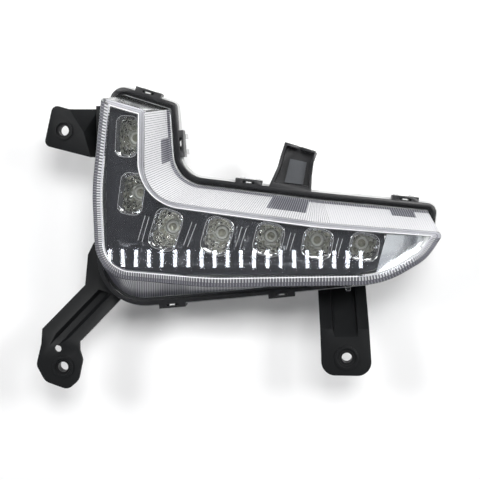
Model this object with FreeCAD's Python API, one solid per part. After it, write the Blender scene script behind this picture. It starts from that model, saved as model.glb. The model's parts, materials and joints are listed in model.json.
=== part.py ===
import FreeCAD, Part
import math
import os

os.makedirs("parts", exist_ok=True)

Vector = FreeCAD.Vector

# Outlines as (x, z, corner radius) in mm, counter-clockwise seen from the front.
# The origin is the lower left bolt hole in the plane of the three feet; the lens faces -Y.
RIM = [(24, 38, 30), (110, 46, 200), (206, 56.5, 60), (236, 76, 30), (239.3, 106.4, 6),
       (165, 113.5, 250), (78, 124.2, 16), (75, 169.9, 4), (34, 182.6, 9), (22.5, 115, 150)]
SHOULDER = [(28.3, 61.5, 24), (100, 55.6, 200), (204, 58, 60), (230.5, 74, 30), (240.5, 90, 2.5),
            (165, 95.8, 250), (57.8, 110.2, 22.5), (58.8, 164.2, 2), (32.2, 172, 2), (26, 115, 150)]
BEZEL = [(34, 62.8, 15), (190, 64.2, 40), (220, 75.5, 40), (231, 86.4, 1.5),
         (165, 93, 200), (54.3, 108.6, 25), (54.3, 162.6, 1.5), (35.2, 167.6, 1.5)]

# Lens, seal and retaining frame
LENS_DEPTH = 34.0
BEVEL_DEPTH = 5.0
BEVEL_WIDTH = 4.0
LENS_WALL = 2.5
LENS_FLANGE = 3.0
RIM_BAND = 4.8
PEG_AT = (183.6, 54)
PEG_WIDTH = 3.2
PEG_DEPTHS = (-12.0, -7.0)
PEG_DROP = 2.0
SEAL_THICKNESS = 1.2
SEAL_WIDTH = 2.2
FRAME_WALL = 1.6
FRAME_LIP = 1.8
LIP_REACH = 2.8
FIT_GAP = 0.3
# Latches by the (x, z) point of the rim where each one sits
LATCHES = [(71.6, 42.4), (141.7, 49.5), (219.2, 108.3), (120.6, 119), (76.7, 144.3), (56.6, 175.6)]
LATCH_LENGTH = 17.0
LATCH_WALL = 1.4
LATCH_HOOK = 2.6
LATCH_SLOT = 7.0
LATCH_WINDOW = 10.6
# Top locator as (along the edge, outwards) from its place on the rim
LOCATOR_AT = (147.1, 115.7)
LOCATOR = [(-13.8, -0.6), (13.4, -0.6), (12.6, 10), (12.6, 18), (14, 24.2), (12.8, 25.6),
           (-6.9, 29), (-8.6, 20), (-9.6, 13)]
LOCATOR_DEPTH = 11.0
LOCATOR_WALL = 1.8
LOCATOR_PAD = [(-4.2, 3.6), (7.6, 3.6), (8.2, 18), (-2.6, 19)]
LOCATOR_PAD_THICKNESS = 2.4
LOCATOR_NOTCH = [(2.0, 20), (3.6, 30)]
LOCATOR_SILL = 3.0

# Rear housing
HOUSING_DEPTH = 44.0
HOUSING_WALL = 2.4
HOUSING_FLANGE = 3.0
HOUSING_LIP = 1.2
HOUSING_INSET = 2.2
HOUSING_DRAFT = 2.0
LUG = (3.0, 3.6, 7.0)
LUG_SPACING = 10.0
LUG_BACKSET = 2.0
TOOTH = (3.4, 0.7)
SOCKET_AT = (118, 84)
SOCKET_INSIDE = (20.0, 11.0)
SOCKET_WALL = 2.0
SOCKET_DEPTH = 18.0
VENT_AT = (66, 70)
VENT_RADIUS = 4.0
VENT_HEIGHT = 9.0
LINER_SHEET = 1.2
LINER_GAP = 1.0
LINER_HEIGHT = 22.0
LINER_SIDE = [(46, 105), (80, 92), (165, 84), (245, 80), (250, 118), (170, 128), (95, 132),
              (95, 163), (46, 163)]

# Light engine: LEDs as (x, z, window width, window height, lean in degrees)
LEDS = [(47.5, 148.2, 11.6, 23.0, 3), (50.2, 113.0, 13.2, 23.4, 8), (71.2, 91.0, 15.4, 23.2, 17),
        (103.0, 87.3, 15.6, 21.0, 16), (134.6, 85.3, 15.6, 18.2, 13), (164.3, 82.8, 16.2, 16.6, 11),
        (192.7, 81.0, 15.6, 14.8, 11)]
BEZEL_BACKSET = 8.0
BEZEL_PLATE = 2.0
BAY_DEPTH = 5.0
BAY_FLARE = 0.8
BAY_WALL = 1.4
BEZEL_END = [(198.6, 60), (208.2, 96)]
DIVIDERS = [[(81.2, 79.4), (84.4, 78.2), (91.6, 97.0), (88.2, 98.4)],
            [(113.4, 79.0), (117.0, 78.2), (122.2, 94.0), (118.4, 95.2)],
            [(144.4, 77.4), (147.6, 76.8), (151.6, 90.6), (148.2, 91.4)],
            [(174.0, 75.4), (176.8, 75.0), (180.4, 87.4), (177.2, 88.0)],
            [(53.0, 82.0), (56.4, 80.8), (62.4, 101.4), (59.2, 102.4)]]
DIVIDER_HEIGHT = 1.6
WINDOW_GAP = 0.8
CUP_WALL = 1.2
CUP_RIM = 1.2
CUP_SECTORS = 20
CUP_RINGS = 5
THROAT_RADIUS = 4.0
LED_RADIUS = 3.4
LED_HEIGHT = 2.6
BOARD_Y = 10.0
BOARD_THICKNESS = 1.6
BOARD_HALF_WIDTH = 8.0
WING_POST = (209.0, 79.5)
WING_POST_RADIUS = 2.5
WING_SHEET = 2.0
WING_SLOPE = 18.0
# LEDs that have a fixing post between them and the next one
POSTS_AFTER = [0, 2, 4, 5]
POST_RADIUS = 2.9
BOSS_RADIUS = 6.0
BOSS_SEAT = 4.0

# Driver board and its parts
DRIVER = (46.0, 30.0)
DRIVER_STANDOFF = 6.0
STANDOFF_RADIUS = 3.0
STANDOFF_INSET = 4.0
INDUCTOR = (5.5, 9.0)
INDUCTOR_AT = (-9.0, -3.0)
CAPACITOR = (4.0, 11.0)
CAPACITOR_AT = (2.0, 8.0)
CHIP = (7.0, 1.8, 7.0)
CHIP_AT = (3.0, -7.0)
LINK = (8.0, 5.0)
TERMINAL = (0.8, 2.6)
TERMINAL_PITCH = 6.0
TERMINAL_REACH = 11.0

# Screws
SCREW_RADIUS = 1.5
SCREW_GAP = 0.15
SCREW_HEAD = (3.3, 2.2)
SCREW_BITE = 5.0
WASHER_THICKNESS = 0.8

# Brackets
PLATE = 3.0
BOLT_RADIUS = 3.3
BUSH_RADIUS = 4.6
BUSH_GAP = 0.1
BUSH_LENGTH = 8.0
BUSH_LIP = 1.0
FOOT_RAISE = 1.6
RING_WALL = 1.6
LEG_DEPTH = 9.0
LEG_WALL = 2.6
GROOVE_DEPTH = 4.0
LOWER_LEFT_HOLE = (0, 0)
LOWER_LEFT_RING = 6.9
LOWER_LEFT_FOLD = [(-13.6, 24.7), (10.9, 16.4)]
LOWER_LEFT_FOOT = [(-14.3, 15, 4), (-17.8, 1, 6), (-12, -9.8, 8), (3, -15, 6), (10, -9, 8),
                   (12.8, 4.5, 4), (10.9, 11, 3)]
LOWER_LEFT_GROOVE = (9.5, 18.6, 2.4)
LOWER_LEFT_RUN = (25.1, 16.0, 27.2)
PIN_HOLE = (-3.4, 11.8, 2.3)
LOWER_LEFT_PAD = 23.4
LOWER_LEFT_SEAT = 18.0
LOWER_LEFT_WEB = [(6.0, 0.0), (2.0, 8.0)]
LOWER_LEFT_SPAN = (56.0, 80.0)
LOWER_RIGHT_HOLE = (183.5, 8.1)
LOWER_RIGHT_RING = 7.7
LOWER_RIGHT_FOLD = [(166.4, 26.5), (197.6, 26.5)]
LOWER_RIGHT_FOOT = [(167.6, -3.4, 9), (199.8, -3.6, 9)]
LOWER_RIGHT_GROOVE = (8.0, 24.0, 0.8)
LOWER_RIGHT_RUN = (-1.6, 19.6, 25.7)
LOWER_RIGHT_PAD = 52.5
LOWER_RIGHT_SEAT = 12.0
UPPER_LEFT_HOLE = (2.0, 152.9)
UPPER_LEFT_RING = 6.0
UPPER_LEFT_FOOT = [(19.2, 135.8, 0), (15, 151.6, 0), (5.6, 166.5, 0), (-5, 169.5, 4), (-10.9, 143.4, 4)]
UPPER_LEFT_PAD = 24.2
UPPER_LEFT_SEAT = 13.0
UPPER_LEFT_SPAN = (136.0, 169.0)
UPPER_LEFT_DEEP = 24.0
UPPER_LEFT_SHALLOW = 12.0
PAD_FRONT = 9.0
PAD_MARGIN = 2.0
PAD_SCREW = 9.0

# Depths that follow from the sizes above
SEAL_FRONT = LENS_FLANGE
FLANGE_FRONT = SEAL_FRONT + SEAL_THICKNESS
FLANGE_BACK = FLANGE_FRONT + HOUSING_FLANGE
FLOOR_FRONT = HOUSING_DEPTH - HOUSING_WALL
BEZEL_FRONT = BEZEL_BACKSET - LENS_DEPTH
BAY_FLOOR = BEZEL_FRONT + BAY_DEPTH
CUP_FRONT = BAY_FLOOR + BEZEL_PLATE
BOARD_BACK = BOARD_Y + BOARD_THICKNESS
SEAT_BACK = BOARD_BACK + BOSS_SEAT
DRIVER_BACK = FLOOR_FRONT - DRIVER_STANDOFF
DRIVER_FRONT = DRIVER_BACK - BOARD_THICKNESS
LOCATOR_FLOOR = LOCATOR_DEPTH - LOCATOR_WALL - FRAME_LIP


def unit(x, z):
    length = math.hypot(x, z)
    return x / length, z / length


def inset(corners, distance, mitre=9.0):
    """Move an outline inwards (outwards when negative); mitre limits how far a corner moves."""
    moved = []
    for i, (x, z, radius) in enumerate(corners):
        before = corners[i - 1]
        after = corners[(i + 1) % len(corners)]
        ax, az = unit(x - before[0], z - before[1])
        bx, bz = unit(after[0] - x, after[1] - z)
        scale = distance / (1 + ax * bx + az * bz)
        shift_x, shift_z = -(az + bz) * scale, (ax + bx) * scale
        length = math.hypot(shift_x, shift_z)
        if length > abs(distance) * mitre:
            shift_x *= abs(distance) * mitre / length
            shift_z *= abs(distance) * mitre / length
        if radius:
            convex = ax * bz - az * bx > 0
            radius = max(radius - distance if convex else radius + distance, 0.4)
        moved.append((x + shift_x, z + shift_z, radius))
    return moved


def outline(corners, y):
    """Closed wire of lines and corner arcs in the plane at depth y."""
    ends = []
    for i, (x, z, radius) in enumerate(corners):
        before = corners[i - 1]
        after = corners[(i + 1) % len(corners)]
        ax, az = unit(x - before[0], z - before[1])
        bx, bz = unit(after[0] - x, after[1] - z)
        half = 0.5 * math.acos(max(-1, min(1, ax * bx + az * bz)))
        room = 0.48 * min(math.dist((x, z), before[:2]), math.dist((x, z), after[:2]))
        reach = min(radius * math.tan(half), room)
        start = Vector(x - ax * reach, y, z - az * reach)
        end = Vector(x + bx * reach, y, z + bz * reach)
        middle = None
        if radius:
            nx, nz = unit(bx - ax, bz - az)
            sag = reach / math.tan(half) * (1 / math.cos(half) - 1)
            middle = Vector(x + nx * sag, y, z + nz * sag)
        ends.append((start, middle, end))
    edges = []
    for i, (start, middle, end) in enumerate(ends):
        if middle:
            edges.append(Part.Arc(start, middle, end).toShape())
        edges.append(Part.makeLine(end, ends[(i + 1) % len(ends)][0]))
    return Part.Wire(edges)


def prism(corners, y_front, y_back):
    return Part.Face(outline(corners, y_front)).extrude(Vector(0, y_back - y_front, 0))


def sharp(points):
    return [(x, z, 0) for x, z in points]


def closed_body(faces):
    body = Part.Solid(Part.Shell(faces))
    if body.Volume < 0:
        body.reverse()
    return body


def side_faces(wires):
    return [Part.makeRuledSurface(a, b)
            for front, back in zip(wires, wires[1:]) for a, b in zip(front.Edges, back.Edges)]


def ruled_body(sections):
    """Solid with straight walls from one (outline, depth) section to the next."""
    wires = [outline(corners, y) for corners, y in sections]
    return closed_body(side_faces(wires) + [Part.Face(wires[0]), Part.Face(wires[-1])])


def box(x, y, z):
    """Box from three (low, high) pairs."""
    return Part.makeBox(x[1] - x[0], y[1] - y[0], z[1] - z[0], Vector(x[0], y[0], z[0]))


def rod(place, radius, y_front, y_back):
    """Cylinder along Y at an (x, z) place."""
    return Part.makeCylinder(radius, y_back - y_front, Vector(place[0], y_front, place[1]), Vector(0, 1, 0))


def fuse(shapes):
    return shapes[0].multiFuse(shapes[1:]).removeSplitter()


def edge_frame(point):
    """Placement on the rim edge nearest to a point: local x runs along it, y is depth, z outwards."""
    frames = []
    for (x0, z0, _), (x1, z1, _) in zip(RIM, RIM[1:] + RIM[:1]):
        x, z = unit(x1 - x0, z1 - z0)
        length = math.dist((x0, z0), (x1, z1))
        along = max(0, min(length, (point[0] - x0) * x + (point[1] - z0) * z))
        foot = (x0 + along * x, z0 + along * z)
        frames.append((math.dist(point, foot), (x, z), foot))
    _, (x, z), foot = min(frames)
    return FreeCAD.Placement(FreeCAD.Matrix(-x, 0, z, foot[0], 0, 1, 0, 0, -z, 0, -x, foot[1]))


def at_edge(shape, point):
    shape.Placement = edge_frame(point)
    return shape


# Outlines that follow the rim
FLANGE_OUTLINE = inset(RIM, FRAME_WALL + FIT_GAP)
LENS_FOOT = inset(RIM, RIM_BAND)
HOUSING_OUTER = inset(RIM, HOUSING_INSET)
FACE = inset(SHOULDER, BEVEL_WIDTH, 1.3)
SHOULDER_Y = BEVEL_DEPTH - LENS_DEPTH


def outer_lens():
    hollow = inset(LENS_FOOT, LENS_WALL)
    outside = ruled_body([(LENS_FOOT, LENS_FLANGE), (LENS_FOOT, 0), (SHOULDER, SHOULDER_Y),
                          (FACE, -LENS_DEPTH)])
    inside = ruled_body([(hollow, LENS_FLANGE), (hollow, 0), (inset(SHOULDER, LENS_WALL), SHOULDER_Y),
                         (inset(FACE, LENS_WALL / 2, 1.3), LENS_WALL - LENS_DEPTH)])
    flange = prism(FLANGE_OUTLINE, 0, LENS_FLANGE)
    peg = box((-PEG_WIDTH / 2, PEG_WIDTH / 2), PEG_DEPTHS, (-RIM_BAND - LENS_WALL / 2, PEG_DROP))
    return fuse([outside, flange, at_edge(peg, PEG_AT)]).cut(inside)


def lens_seal():
    ring = prism(inset(RIM, HOUSING_INSET), SEAL_FRONT, FLANGE_FRONT)
    return ring.cut(prism(inset(RIM, HOUSING_INSET + SEAL_WIDTH), SEAL_FRONT, FLANGE_FRONT))


def latch(point):
    """Loop that passes over the housing flange and hooks behind it."""
    half = LATCH_LENGTH / 2
    grip = HOUSING_LIP + FIT_GAP
    back = FLANGE_BACK + FIT_GAP + LATCH_HOOK
    pad = box((-half, half), (-FRAME_LIP, FLANGE_FRONT), (-FRAME_WALL / 2, grip + LATCH_WALL))
    finger = box((-half, half), (FLANGE_FRONT, back), (grip, grip + LATCH_WALL))
    hook = box((-half, half), (FLANGE_BACK + FIT_GAP, back), (FIT_GAP, grip))
    slot = box((-LATCH_SLOT / 2, LATCH_SLOT / 2), (-FRAME_LIP, FLANGE_FRONT), (FIT_GAP, grip))
    window = box((-LATCH_WINDOW / 2, LATCH_WINDOW / 2), (FLANGE_BACK - FIT_GAP, FLANGE_BACK + FIT_GAP),
                 (grip, grip + LATCH_WALL))
    return at_edge(pad.fuse([finger, hook]).cut(slot).cut(window), point)


def top_locator():
    """Tray above the rim that finds its place in the car body."""
    tray = prism(sharp(LOCATOR), -FRAME_LIP, LOCATOR_FLOOR + LOCATOR_WALL)
    pocket = prism(inset(sharp(LOCATOR), LOCATOR_WALL), -FRAME_LIP, LOCATOR_FLOOR)
    reach = LOCATOR[1][0] - LOCATOR[0][0]
    sill = box((-reach, reach), (-FRAME_LIP, LOCATOR_FLOOR), (0, LOCATOR_SILL))
    (left, low), (right, high) = LOCATOR_NOTCH
    notch = box((left, right), (-FRAME_LIP, LOCATOR_FLOOR), (low, high))
    shape = at_edge(tray.cut(pocket.cut(sill)).cut(notch), LOCATOR_AT)
    return shape.cut(prism(inset(RIM, -HOUSING_LIP - FIT_GAP), FLANGE_FRONT, HOUSING_DEPTH))


def locator_pad():
    pad = prism(sharp(LOCATOR_PAD), LOCATOR_FLOOR - LOCATOR_PAD_THICKNESS, LOCATOR_FLOOR)
    return at_edge(pad, LOCATOR_AT)


def retaining_frame():
    ring = prism(RIM, -FRAME_LIP, FLANGE_FRONT)
    ring = ring.cut(prism(inset(RIM, FRAME_WALL), 0, FLANGE_FRONT))
    ring = ring.fuse([top_locator()] + [latch(point) for point in LATCHES])
    return ring.cut(prism(inset(RIM, LIP_REACH), -FRAME_LIP, 0)).removeSplitter()


def post_places():
    pairs = [(LEDS[i], LEDS[i + 1]) for i in POSTS_AFTER]
    return [((a[0] + b[0]) / 2, (a[1] + b[1]) / 2) for a, b in pairs]


def standoff_places():
    x, z = SOCKET_AT
    reach_x = DRIVER[0] / 2 - STANDOFF_INSET
    reach_z = DRIVER[1] / 2 - STANDOFF_INSET
    return [(x - reach_x, z + reach_z), (x + reach_x, z - reach_z)]


def terminal_box(side, gap, y):
    x = SOCKET_AT[0] + side * TERMINAL_PITCH / 2
    half_x, half_z = TERMINAL[0] / 2 + gap, TERMINAL[1] / 2 + gap
    return box((x - half_x, x + half_x), y, (SOCKET_AT[1] - half_z, SOCKET_AT[1] + half_z))


def lugs(point):
    """Two guide lugs on the housing wall behind a latch."""
    width, height, depth = LUG
    front = FLANGE_BACK + FIT_GAP + LATCH_HOOK + LUG_BACKSET
    pair = []
    for middle in (-LUG_SPACING / 2, LUG_SPACING / 2):
        pair.append(box((middle - width / 2, middle + width / 2), (front, front + depth),
                        (-HOUSING_INSET - HOUSING_WALL, height)))
    return at_edge(Part.makeCompound(pair), point).Solids


def tooth(point):
    """Nib of the housing flange that shows in the slot of a latch."""
    width, height = TOOTH
    middle = FIT_GAP + HOUSING_LIP / 2
    nib = box((-width / 2, width / 2), (FIT_GAP - FRAME_LIP, FLANGE_BACK),
              (middle - height / 2, middle + height / 2))
    return at_edge(nib, point)


def pad_blocks():
    """Flat seats for the three brackets on the housing walls."""
    back = HOUSING_DEPTH - PAD_MARGIN
    x0, x1 = LOWER_RIGHT_FOLD[0][0], LOWER_RIGHT_FOLD[1][0]
    lower_left = (LOWER_LEFT_PAD, LOWER_LEFT_PAD + LOWER_LEFT_SEAT)
    upper_left = (UPPER_LEFT_PAD, UPPER_LEFT_PAD + UPPER_LEFT_SEAT)
    lower_right = (LOWER_RIGHT_PAD, LOWER_RIGHT_PAD + LOWER_RIGHT_SEAT)
    return [box(lower_left, (LOWER_LEFT_RUN[1], back), LOWER_LEFT_SPAN),
            box(upper_left, (PAD_FRONT, back), UPPER_LEFT_SPAN),
            box((x0, x1), (LOWER_RIGHT_RUN[1], back), lower_right)]


def socket_box(grow, y):
    x, z = SOCKET_AT
    half_x, half_z = SOCKET_INSIDE[0] / 2 + grow, SOCKET_INSIDE[1] / 2 + grow
    return box((x - half_x, x + half_x), y, (z - half_z, z + half_z))


def rear_housing():
    back = inset(RIM, HOUSING_INSET + HOUSING_DRAFT)
    outside = ruled_body([(HOUSING_OUTER, FLANGE_FRONT), (back, HOUSING_DEPTH)])
    inside = ruled_body([(inset(HOUSING_OUTER, HOUSING_WALL), FLANGE_FRONT),
                         (inset(back, HOUSING_WALL), FLOOR_FRONT)])
    flange = prism(inset(RIM, -HOUSING_LIP), FLANGE_FRONT, FLANGE_BACK)
    socket_end = HOUSING_DEPTH + SOCKET_DEPTH
    shroud = socket_box(SOCKET_WALL, (FLOOR_FRONT, socket_end))
    socket = socket_box(0, (HOUSING_DEPTH, socket_end))
    spigot = rod(VENT_AT, VENT_RADIUS, FLOOR_FRONT, HOUSING_DEPTH + VENT_HEIGHT)
    vent = rod(VENT_AT, VENT_RADIUS / 2, FLOOR_FRONT, HOUSING_DEPTH + VENT_HEIGHT)
    added = [flange, shroud, spigot] + pad_blocks()
    for point in LATCHES:
        added += lugs(point) + [tooth(point)]
    shell = outside.multiFuse(added).cut(inside)
    inner = [rod(p, BOSS_RADIUS, BOARD_BACK, HOUSING_DEPTH) for p in post_places()]
    inner += [rod(p, STANDOFF_RADIUS, DRIVER_BACK, HOUSING_DEPTH) for p in standoff_places()]
    shell = shell.multiFuse(inner)
    holes = [socket, vent] + [terminal_box(s, SCREW_GAP, (FLOOR_FRONT, HOUSING_DEPTH)) for s in (-1, 1)]
    for place in post_places():
        holes.append(rod(place, SCREW_RADIUS + FIT_GAP, BOARD_BACK, SEAT_BACK))
        holes.append(rod(place, BOSS_RADIUS - HOUSING_WALL + FIT_GAP, SEAT_BACK, HOUSING_DEPTH))
    for place in standoff_places():
        holes.append(rod(place, SCREW_RADIUS + SCREW_GAP, DRIVER_BACK, DRIVER_BACK + SCREW_BITE))
    for seat, along in bracket_screw_places():
        holes.append(screw_hole(seat, along))
    return shell.cut(holes).removeSplitter()


def screw_hole(seat, along):
    return Part.makeCylinder(SCREW_RADIUS + SCREW_GAP, PLATE + SCREW_BITE, seat, along)


def screw(seat, along, length):
    """Screw whose head rests on the seat; the shank goes the way of along."""
    shank = Part.makeCylinder(SCREW_RADIUS, length, seat, along)
    head = Part.makeCylinder(SCREW_HEAD[0], SCREW_HEAD[1], seat, -along)
    return shank.fuse(head).removeSplitter()


def bracket_screw_places():
    """Seat of each bracket screw on the outside of its root plate, and the way it points."""
    y = HOUSING_DEPTH - PAD_MARGIN - PAD_SCREW
    right = LOWER_RIGHT_FOLD[1][0] - LOWER_RIGHT_FOLD[0][0]
    x = LOWER_RIGHT_FOLD[0][0]
    seat = LOWER_RIGHT_PAD - PLATE
    places = [(Vector(x + right * f, y, seat), Vector(0, 0, 1)) for f in (0.25, 0.75)]
    for pad, span in ((LOWER_LEFT_PAD, LOWER_LEFT_SPAN), (UPPER_LEFT_PAD, UPPER_LEFT_SPAN)):
        for f in (0.25, 0.75):
            places.append((Vector(pad - PLATE, y, span[0] + f * (span[1] - span[0])), Vector(1, 0, 0)))
    return places


def window(led, margin):
    """Leaning rounded window of one LED, grown by margin."""
    x, z, width, height, lean = led
    c, s = math.cos(math.radians(lean)), math.sin(math.radians(lean))
    radius = min(width, height) * 0.3
    corners = []
    for u, v in ((-1, -1), (1, -1), (1, 1), (-1, 1)):
        across, up = u * width / 2, v * height / 2
        corners.append((x + c * across + s * up, z - s * across + c * up, radius))
    return inset(corners, -margin)


def end_cut(gap, side):
    """Block on one side of the slanted end of the black bezel."""
    (x0, z0), (x1, z1) = BEZEL_END
    far = side * 400
    points = [(x0 + side * gap, z0), (x0 + far, z0), (x1 + far, z1), (x1 + side * gap, z1)]
    if side < 0:
        points.reverse()
    return prism(sharp(points), BEZEL_FRONT - DIVIDER_HEIGHT, BOARD_Y)


def bezel():
    plate = prism(BEZEL, BEZEL_FRONT, CUP_FRONT)
    plate = plate.cut(prism(inset(BEZEL, BAY_WALL), BEZEL_FRONT + BEZEL_PLATE, CUP_FRONT))
    plate = plate.cut(end_cut(0, 1))
    bays = [ruled_body([(window(led, BAY_FLARE + BAY_WALL), BEZEL_FRONT),
                        (window(led, WINDOW_GAP + BAY_WALL), CUP_FRONT)]) for led in LEDS]
    crest = BEZEL_FRONT - DIVIDER_HEIGHT
    bars = [prism(sharp(bar), crest, BEZEL_FRONT + BEZEL_PLATE) for bar in DIVIDERS]
    posts = [rod(p, POST_RADIUS, BEZEL_FRONT + BEZEL_PLATE, BOARD_Y) for p in post_places()]
    clear = LENS_WALL + FIT_GAP
    room = ruled_body([(inset(LENS_FOOT, clear), BOARD_Y), (inset(LENS_FOOT, clear), 0),
                       (inset(SHOULDER, clear), SHOULDER_Y)])
    body = plate.multiFuse(bays + bars + posts).common(room)
    holes = []
    for led in LEDS:
        mouth, throat = window(led, BAY_FLARE), window(led, WINDOW_GAP)
        holes.append(ruled_body([(mouth, crest), (mouth, BEZEL_FRONT),
                                 (throat, BAY_FLOOR), (throat, CUP_FRONT)]))
    holes += [rod(p, SCREW_RADIUS + SCREW_GAP, BOARD_Y - SCREW_BITE * 2, BOARD_Y) for p in post_places()]
    return body.cut(holes).removeSplitter()


def end_reflector():
    """Sloping silver sheet in the pointed end, on one post."""
    front = BEZEL_FRONT + BEZEL_PLATE
    area = prism(inset(BEZEL, FIT_GAP), front, BOARD_Y).common(end_cut(FIT_GAP, 1))
    (x0, z0), (x1, z1) = BEZEL_END
    fall = WING_SLOPE / (BEZEL[3][0] - x0)
    points = [Vector(x, front + WING_SHEET + fall * (x - x0), 0) for x in (x0, BEZEL[3][0])]
    back = [p + Vector(0, WING_SHEET, 0) for p in reversed(points)]
    sheet = Part.Face(Part.makePolygon(points + back + points[:1])).extrude(Vector(0, 0, 2 * z1))
    post = rod(WING_POST, WING_POST_RADIUS, front + WING_SHEET * 1.5 + fall * (WING_POST[0] - x0), BOARD_Y)
    return area.common(sheet).fuse(post).removeSplitter()


def ring_points(led, grow, share):
    """Points round one ring of a reflector; share runs from 0 at the window to 1 at the throat."""
    x, z, width, height, lean = led
    c, s = math.cos(math.radians(lean)), math.sin(math.radians(lean))
    power = 2 + 2.4 * (1 - share)
    points = []
    for k in range(CUP_SECTORS):
        angle = 2 * math.pi * k / CUP_SECTORS
        ca, sa = math.cos(angle), math.sin(angle)
        bulge = (abs(ca) ** power + abs(sa) ** power) ** (-1 / power)
        u = (width / 2 + (THROAT_RADIUS - width / 2) * share + grow) * ca * bulge
        v = (height / 2 + (THROAT_RADIUS - height / 2) * share + grow) * sa * bulge
        points.append((x + c * u + s * v, z - s * u + c * v))
    return points


def ring_wire(led, grow, share, y):
    points = [Vector(x, y, z) for x, z in ring_points(led, grow, share)]
    return Part.makePolygon(points + points[:1])


def reflector(led):
    """Faceted cup from the window to the board: rings of flat mirrors on a parabola."""
    depth = BOARD_Y - CUP_FRONT
    steps = [k / CUP_RINGS for k in range(CUP_RINGS + 1)]
    inner = [ring_wire(led, 0, step ** 2, CUP_FRONT + depth * step) for step in steps]
    outer = [ring_wire(led, CUP_WALL + CUP_RIM, 0, y) for y in (CUP_FRONT, CUP_FRONT + CUP_RIM)]
    below = depth - CUP_RIM
    outer += [ring_wire(led, CUP_WALL, step ** 2, CUP_FRONT + CUP_RIM + below * step) for step in steps]
    faces = side_faces(inner) + side_faces(outer)
    faces += [Part.Face([outer[0], inner[0]]), Part.Face([outer[-1], inner[-1]])]
    return closed_body(faces)


def led_lamp(led):
    base = rod(led[:2], LED_RADIUS, BOARD_Y - LED_HEIGHT / 2, BOARD_Y)
    dome_radius = LED_RADIUS * 0.86
    rise = LED_HEIGHT / 2
    ball_radius = (dome_radius ** 2 + rise ** 2) / (2 * rise)
    ball = Part.makeSphere(ball_radius, Vector(led[0], BOARD_Y - LED_HEIGHT + ball_radius, led[1]))
    dome = ball.common(rod(led[:2], dome_radius, BOARD_Y - LED_HEIGHT, BOARD_Y - LED_HEIGHT / 2))
    return base.fuse(dome).removeSplitter()


def led_board():
    """Strip board that follows the LEDs to the post of the end reflector."""
    path = [led[:2] for led in LEDS] + [WING_POST]
    pieces = [rod(p, BOARD_HALF_WIDTH, BOARD_Y, BOARD_BACK) for p in path]
    for (x0, z0), (x1, z1) in zip(path, path[1:]):
        dx, dz = unit(x1 - x0, z1 - z0)
        sx, sz = dz * BOARD_HALF_WIDTH, -dx * BOARD_HALF_WIDTH
        corners = [(x0 + sx, z0 + sz), (x1 + sx, z1 + sz), (x1 - sx, z1 - sz), (x0 - sx, z0 - sz)]
        pieces.append(prism(sharp(corners), BOARD_Y, BOARD_BACK))
    holes = [rod(p, SCREW_RADIUS + FIT_GAP, BOARD_Y, BOARD_BACK) for p in post_places()]
    return fuse(pieces).cut(holes)


def liner_core(gap, y_back):
    """Space inside the lens, kept a gap away from its side walls."""
    return ruled_body([(inset(LENS_FOOT, gap), y_back), (inset(LENS_FOOT, gap), 0),
                       (inset(SHOULDER, gap), SHOULDER_Y)])


def inner_liner():
    """White sheet behind the clear upper wall, seated in the mouth of the housing."""
    front = FLANGE_FRONT + FIT_GAP
    back = front + LINER_SHEET
    flange = prism(inset(HOUSING_OUTER, HOUSING_WALL + FIT_GAP), front, back)
    gap = LENS_WALL + LINER_GAP
    sheet = flange.fuse(liner_core(gap, back)).cut(liner_core(gap + LINER_SHEET, back))
    sheet = sheet.common(prism(sharp(LINER_SIDE), -LINER_HEIGHT, back))
    keep_out = [inset(BEZEL, -FIT_GAP)] + [window(led, BAY_FLARE + BAY_WALL + FIT_GAP) for led in LEDS]
    return sheet.cut([prism(area, -LINER_HEIGHT, back) for area in keep_out]).removeSplitter()


def driver_board():
    x, z = SOCKET_AT
    half_x, half_z = DRIVER[0] / 2, DRIVER[1] / 2
    plate = box((x - half_x, x + half_x), (DRIVER_FRONT, DRIVER_BACK), (z - half_z, z + half_z))
    return plate.cut([rod(p, SCREW_RADIUS + SCREW_GAP, DRIVER_FRONT, DRIVER_BACK) for p in standoff_places()])


def on_driver(place, radius, foot, top):
    """Cylinder on the driver board between two heights above it."""
    x, z = SOCKET_AT[0] + place[0], SOCKET_AT[1] + place[1]
    return rod((x, z), radius, DRIVER_FRONT - top, DRIVER_FRONT - foot)


def driver_inductor():
    radius, height = INDUCTOR
    low, high = height / 4, height * 3 / 4
    core = on_driver(INDUCTOR_AT, radius, 0, height)
    waist = on_driver(INDUCTOR_AT, radius, low, high).cut(on_driver(INDUCTOR_AT, radius * 0.78, low, high))
    return core.cut(waist)


def driver_capacitor():
    return on_driver(CAPACITOR_AT, CAPACITOR[0], 0, CAPACITOR[1])


def driver_chip():
    x, z = SOCKET_AT[0] + CHIP_AT[0], SOCKET_AT[1] + CHIP_AT[1]
    return box((x, x + CHIP[0]), (DRIVER_FRONT - CHIP[1], DRIVER_FRONT), (z, z + CHIP[2]))


def board_link():
    x, z = LEDS[4][:2]
    half_x, half_z = LINK[0] / 2, LINK[1] / 2
    return box((x - half_x, x + half_x), (BOARD_BACK, DRIVER_FRONT), (z - half_z, z + half_z))


def terminal(side):
    return terminal_box(side, 0, (DRIVER_BACK, HOUSING_DEPTH + TERMINAL_REACH))


def breather_cap():
    top = HOUSING_DEPTH + VENT_HEIGHT
    shell = rod(VENT_AT, VENT_RADIUS + FIT_GAP + HOUSING_WALL, HOUSING_DEPTH + FIT_GAP, top + HOUSING_WALL)
    return shell.cut(rod(VENT_AT, VENT_RADIUS + FIT_GAP, HOUSING_DEPTH + FIT_GAP, top))


def bezel_screws():
    seat = SEAT_BACK + WASHER_THICKNESS
    length = seat - BOARD_Y + SCREW_BITE
    places = post_places()
    return Part.makeCompound([screw(Vector(x, seat, z), Vector(0, -1, 0), length) for x, z in places])


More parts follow.
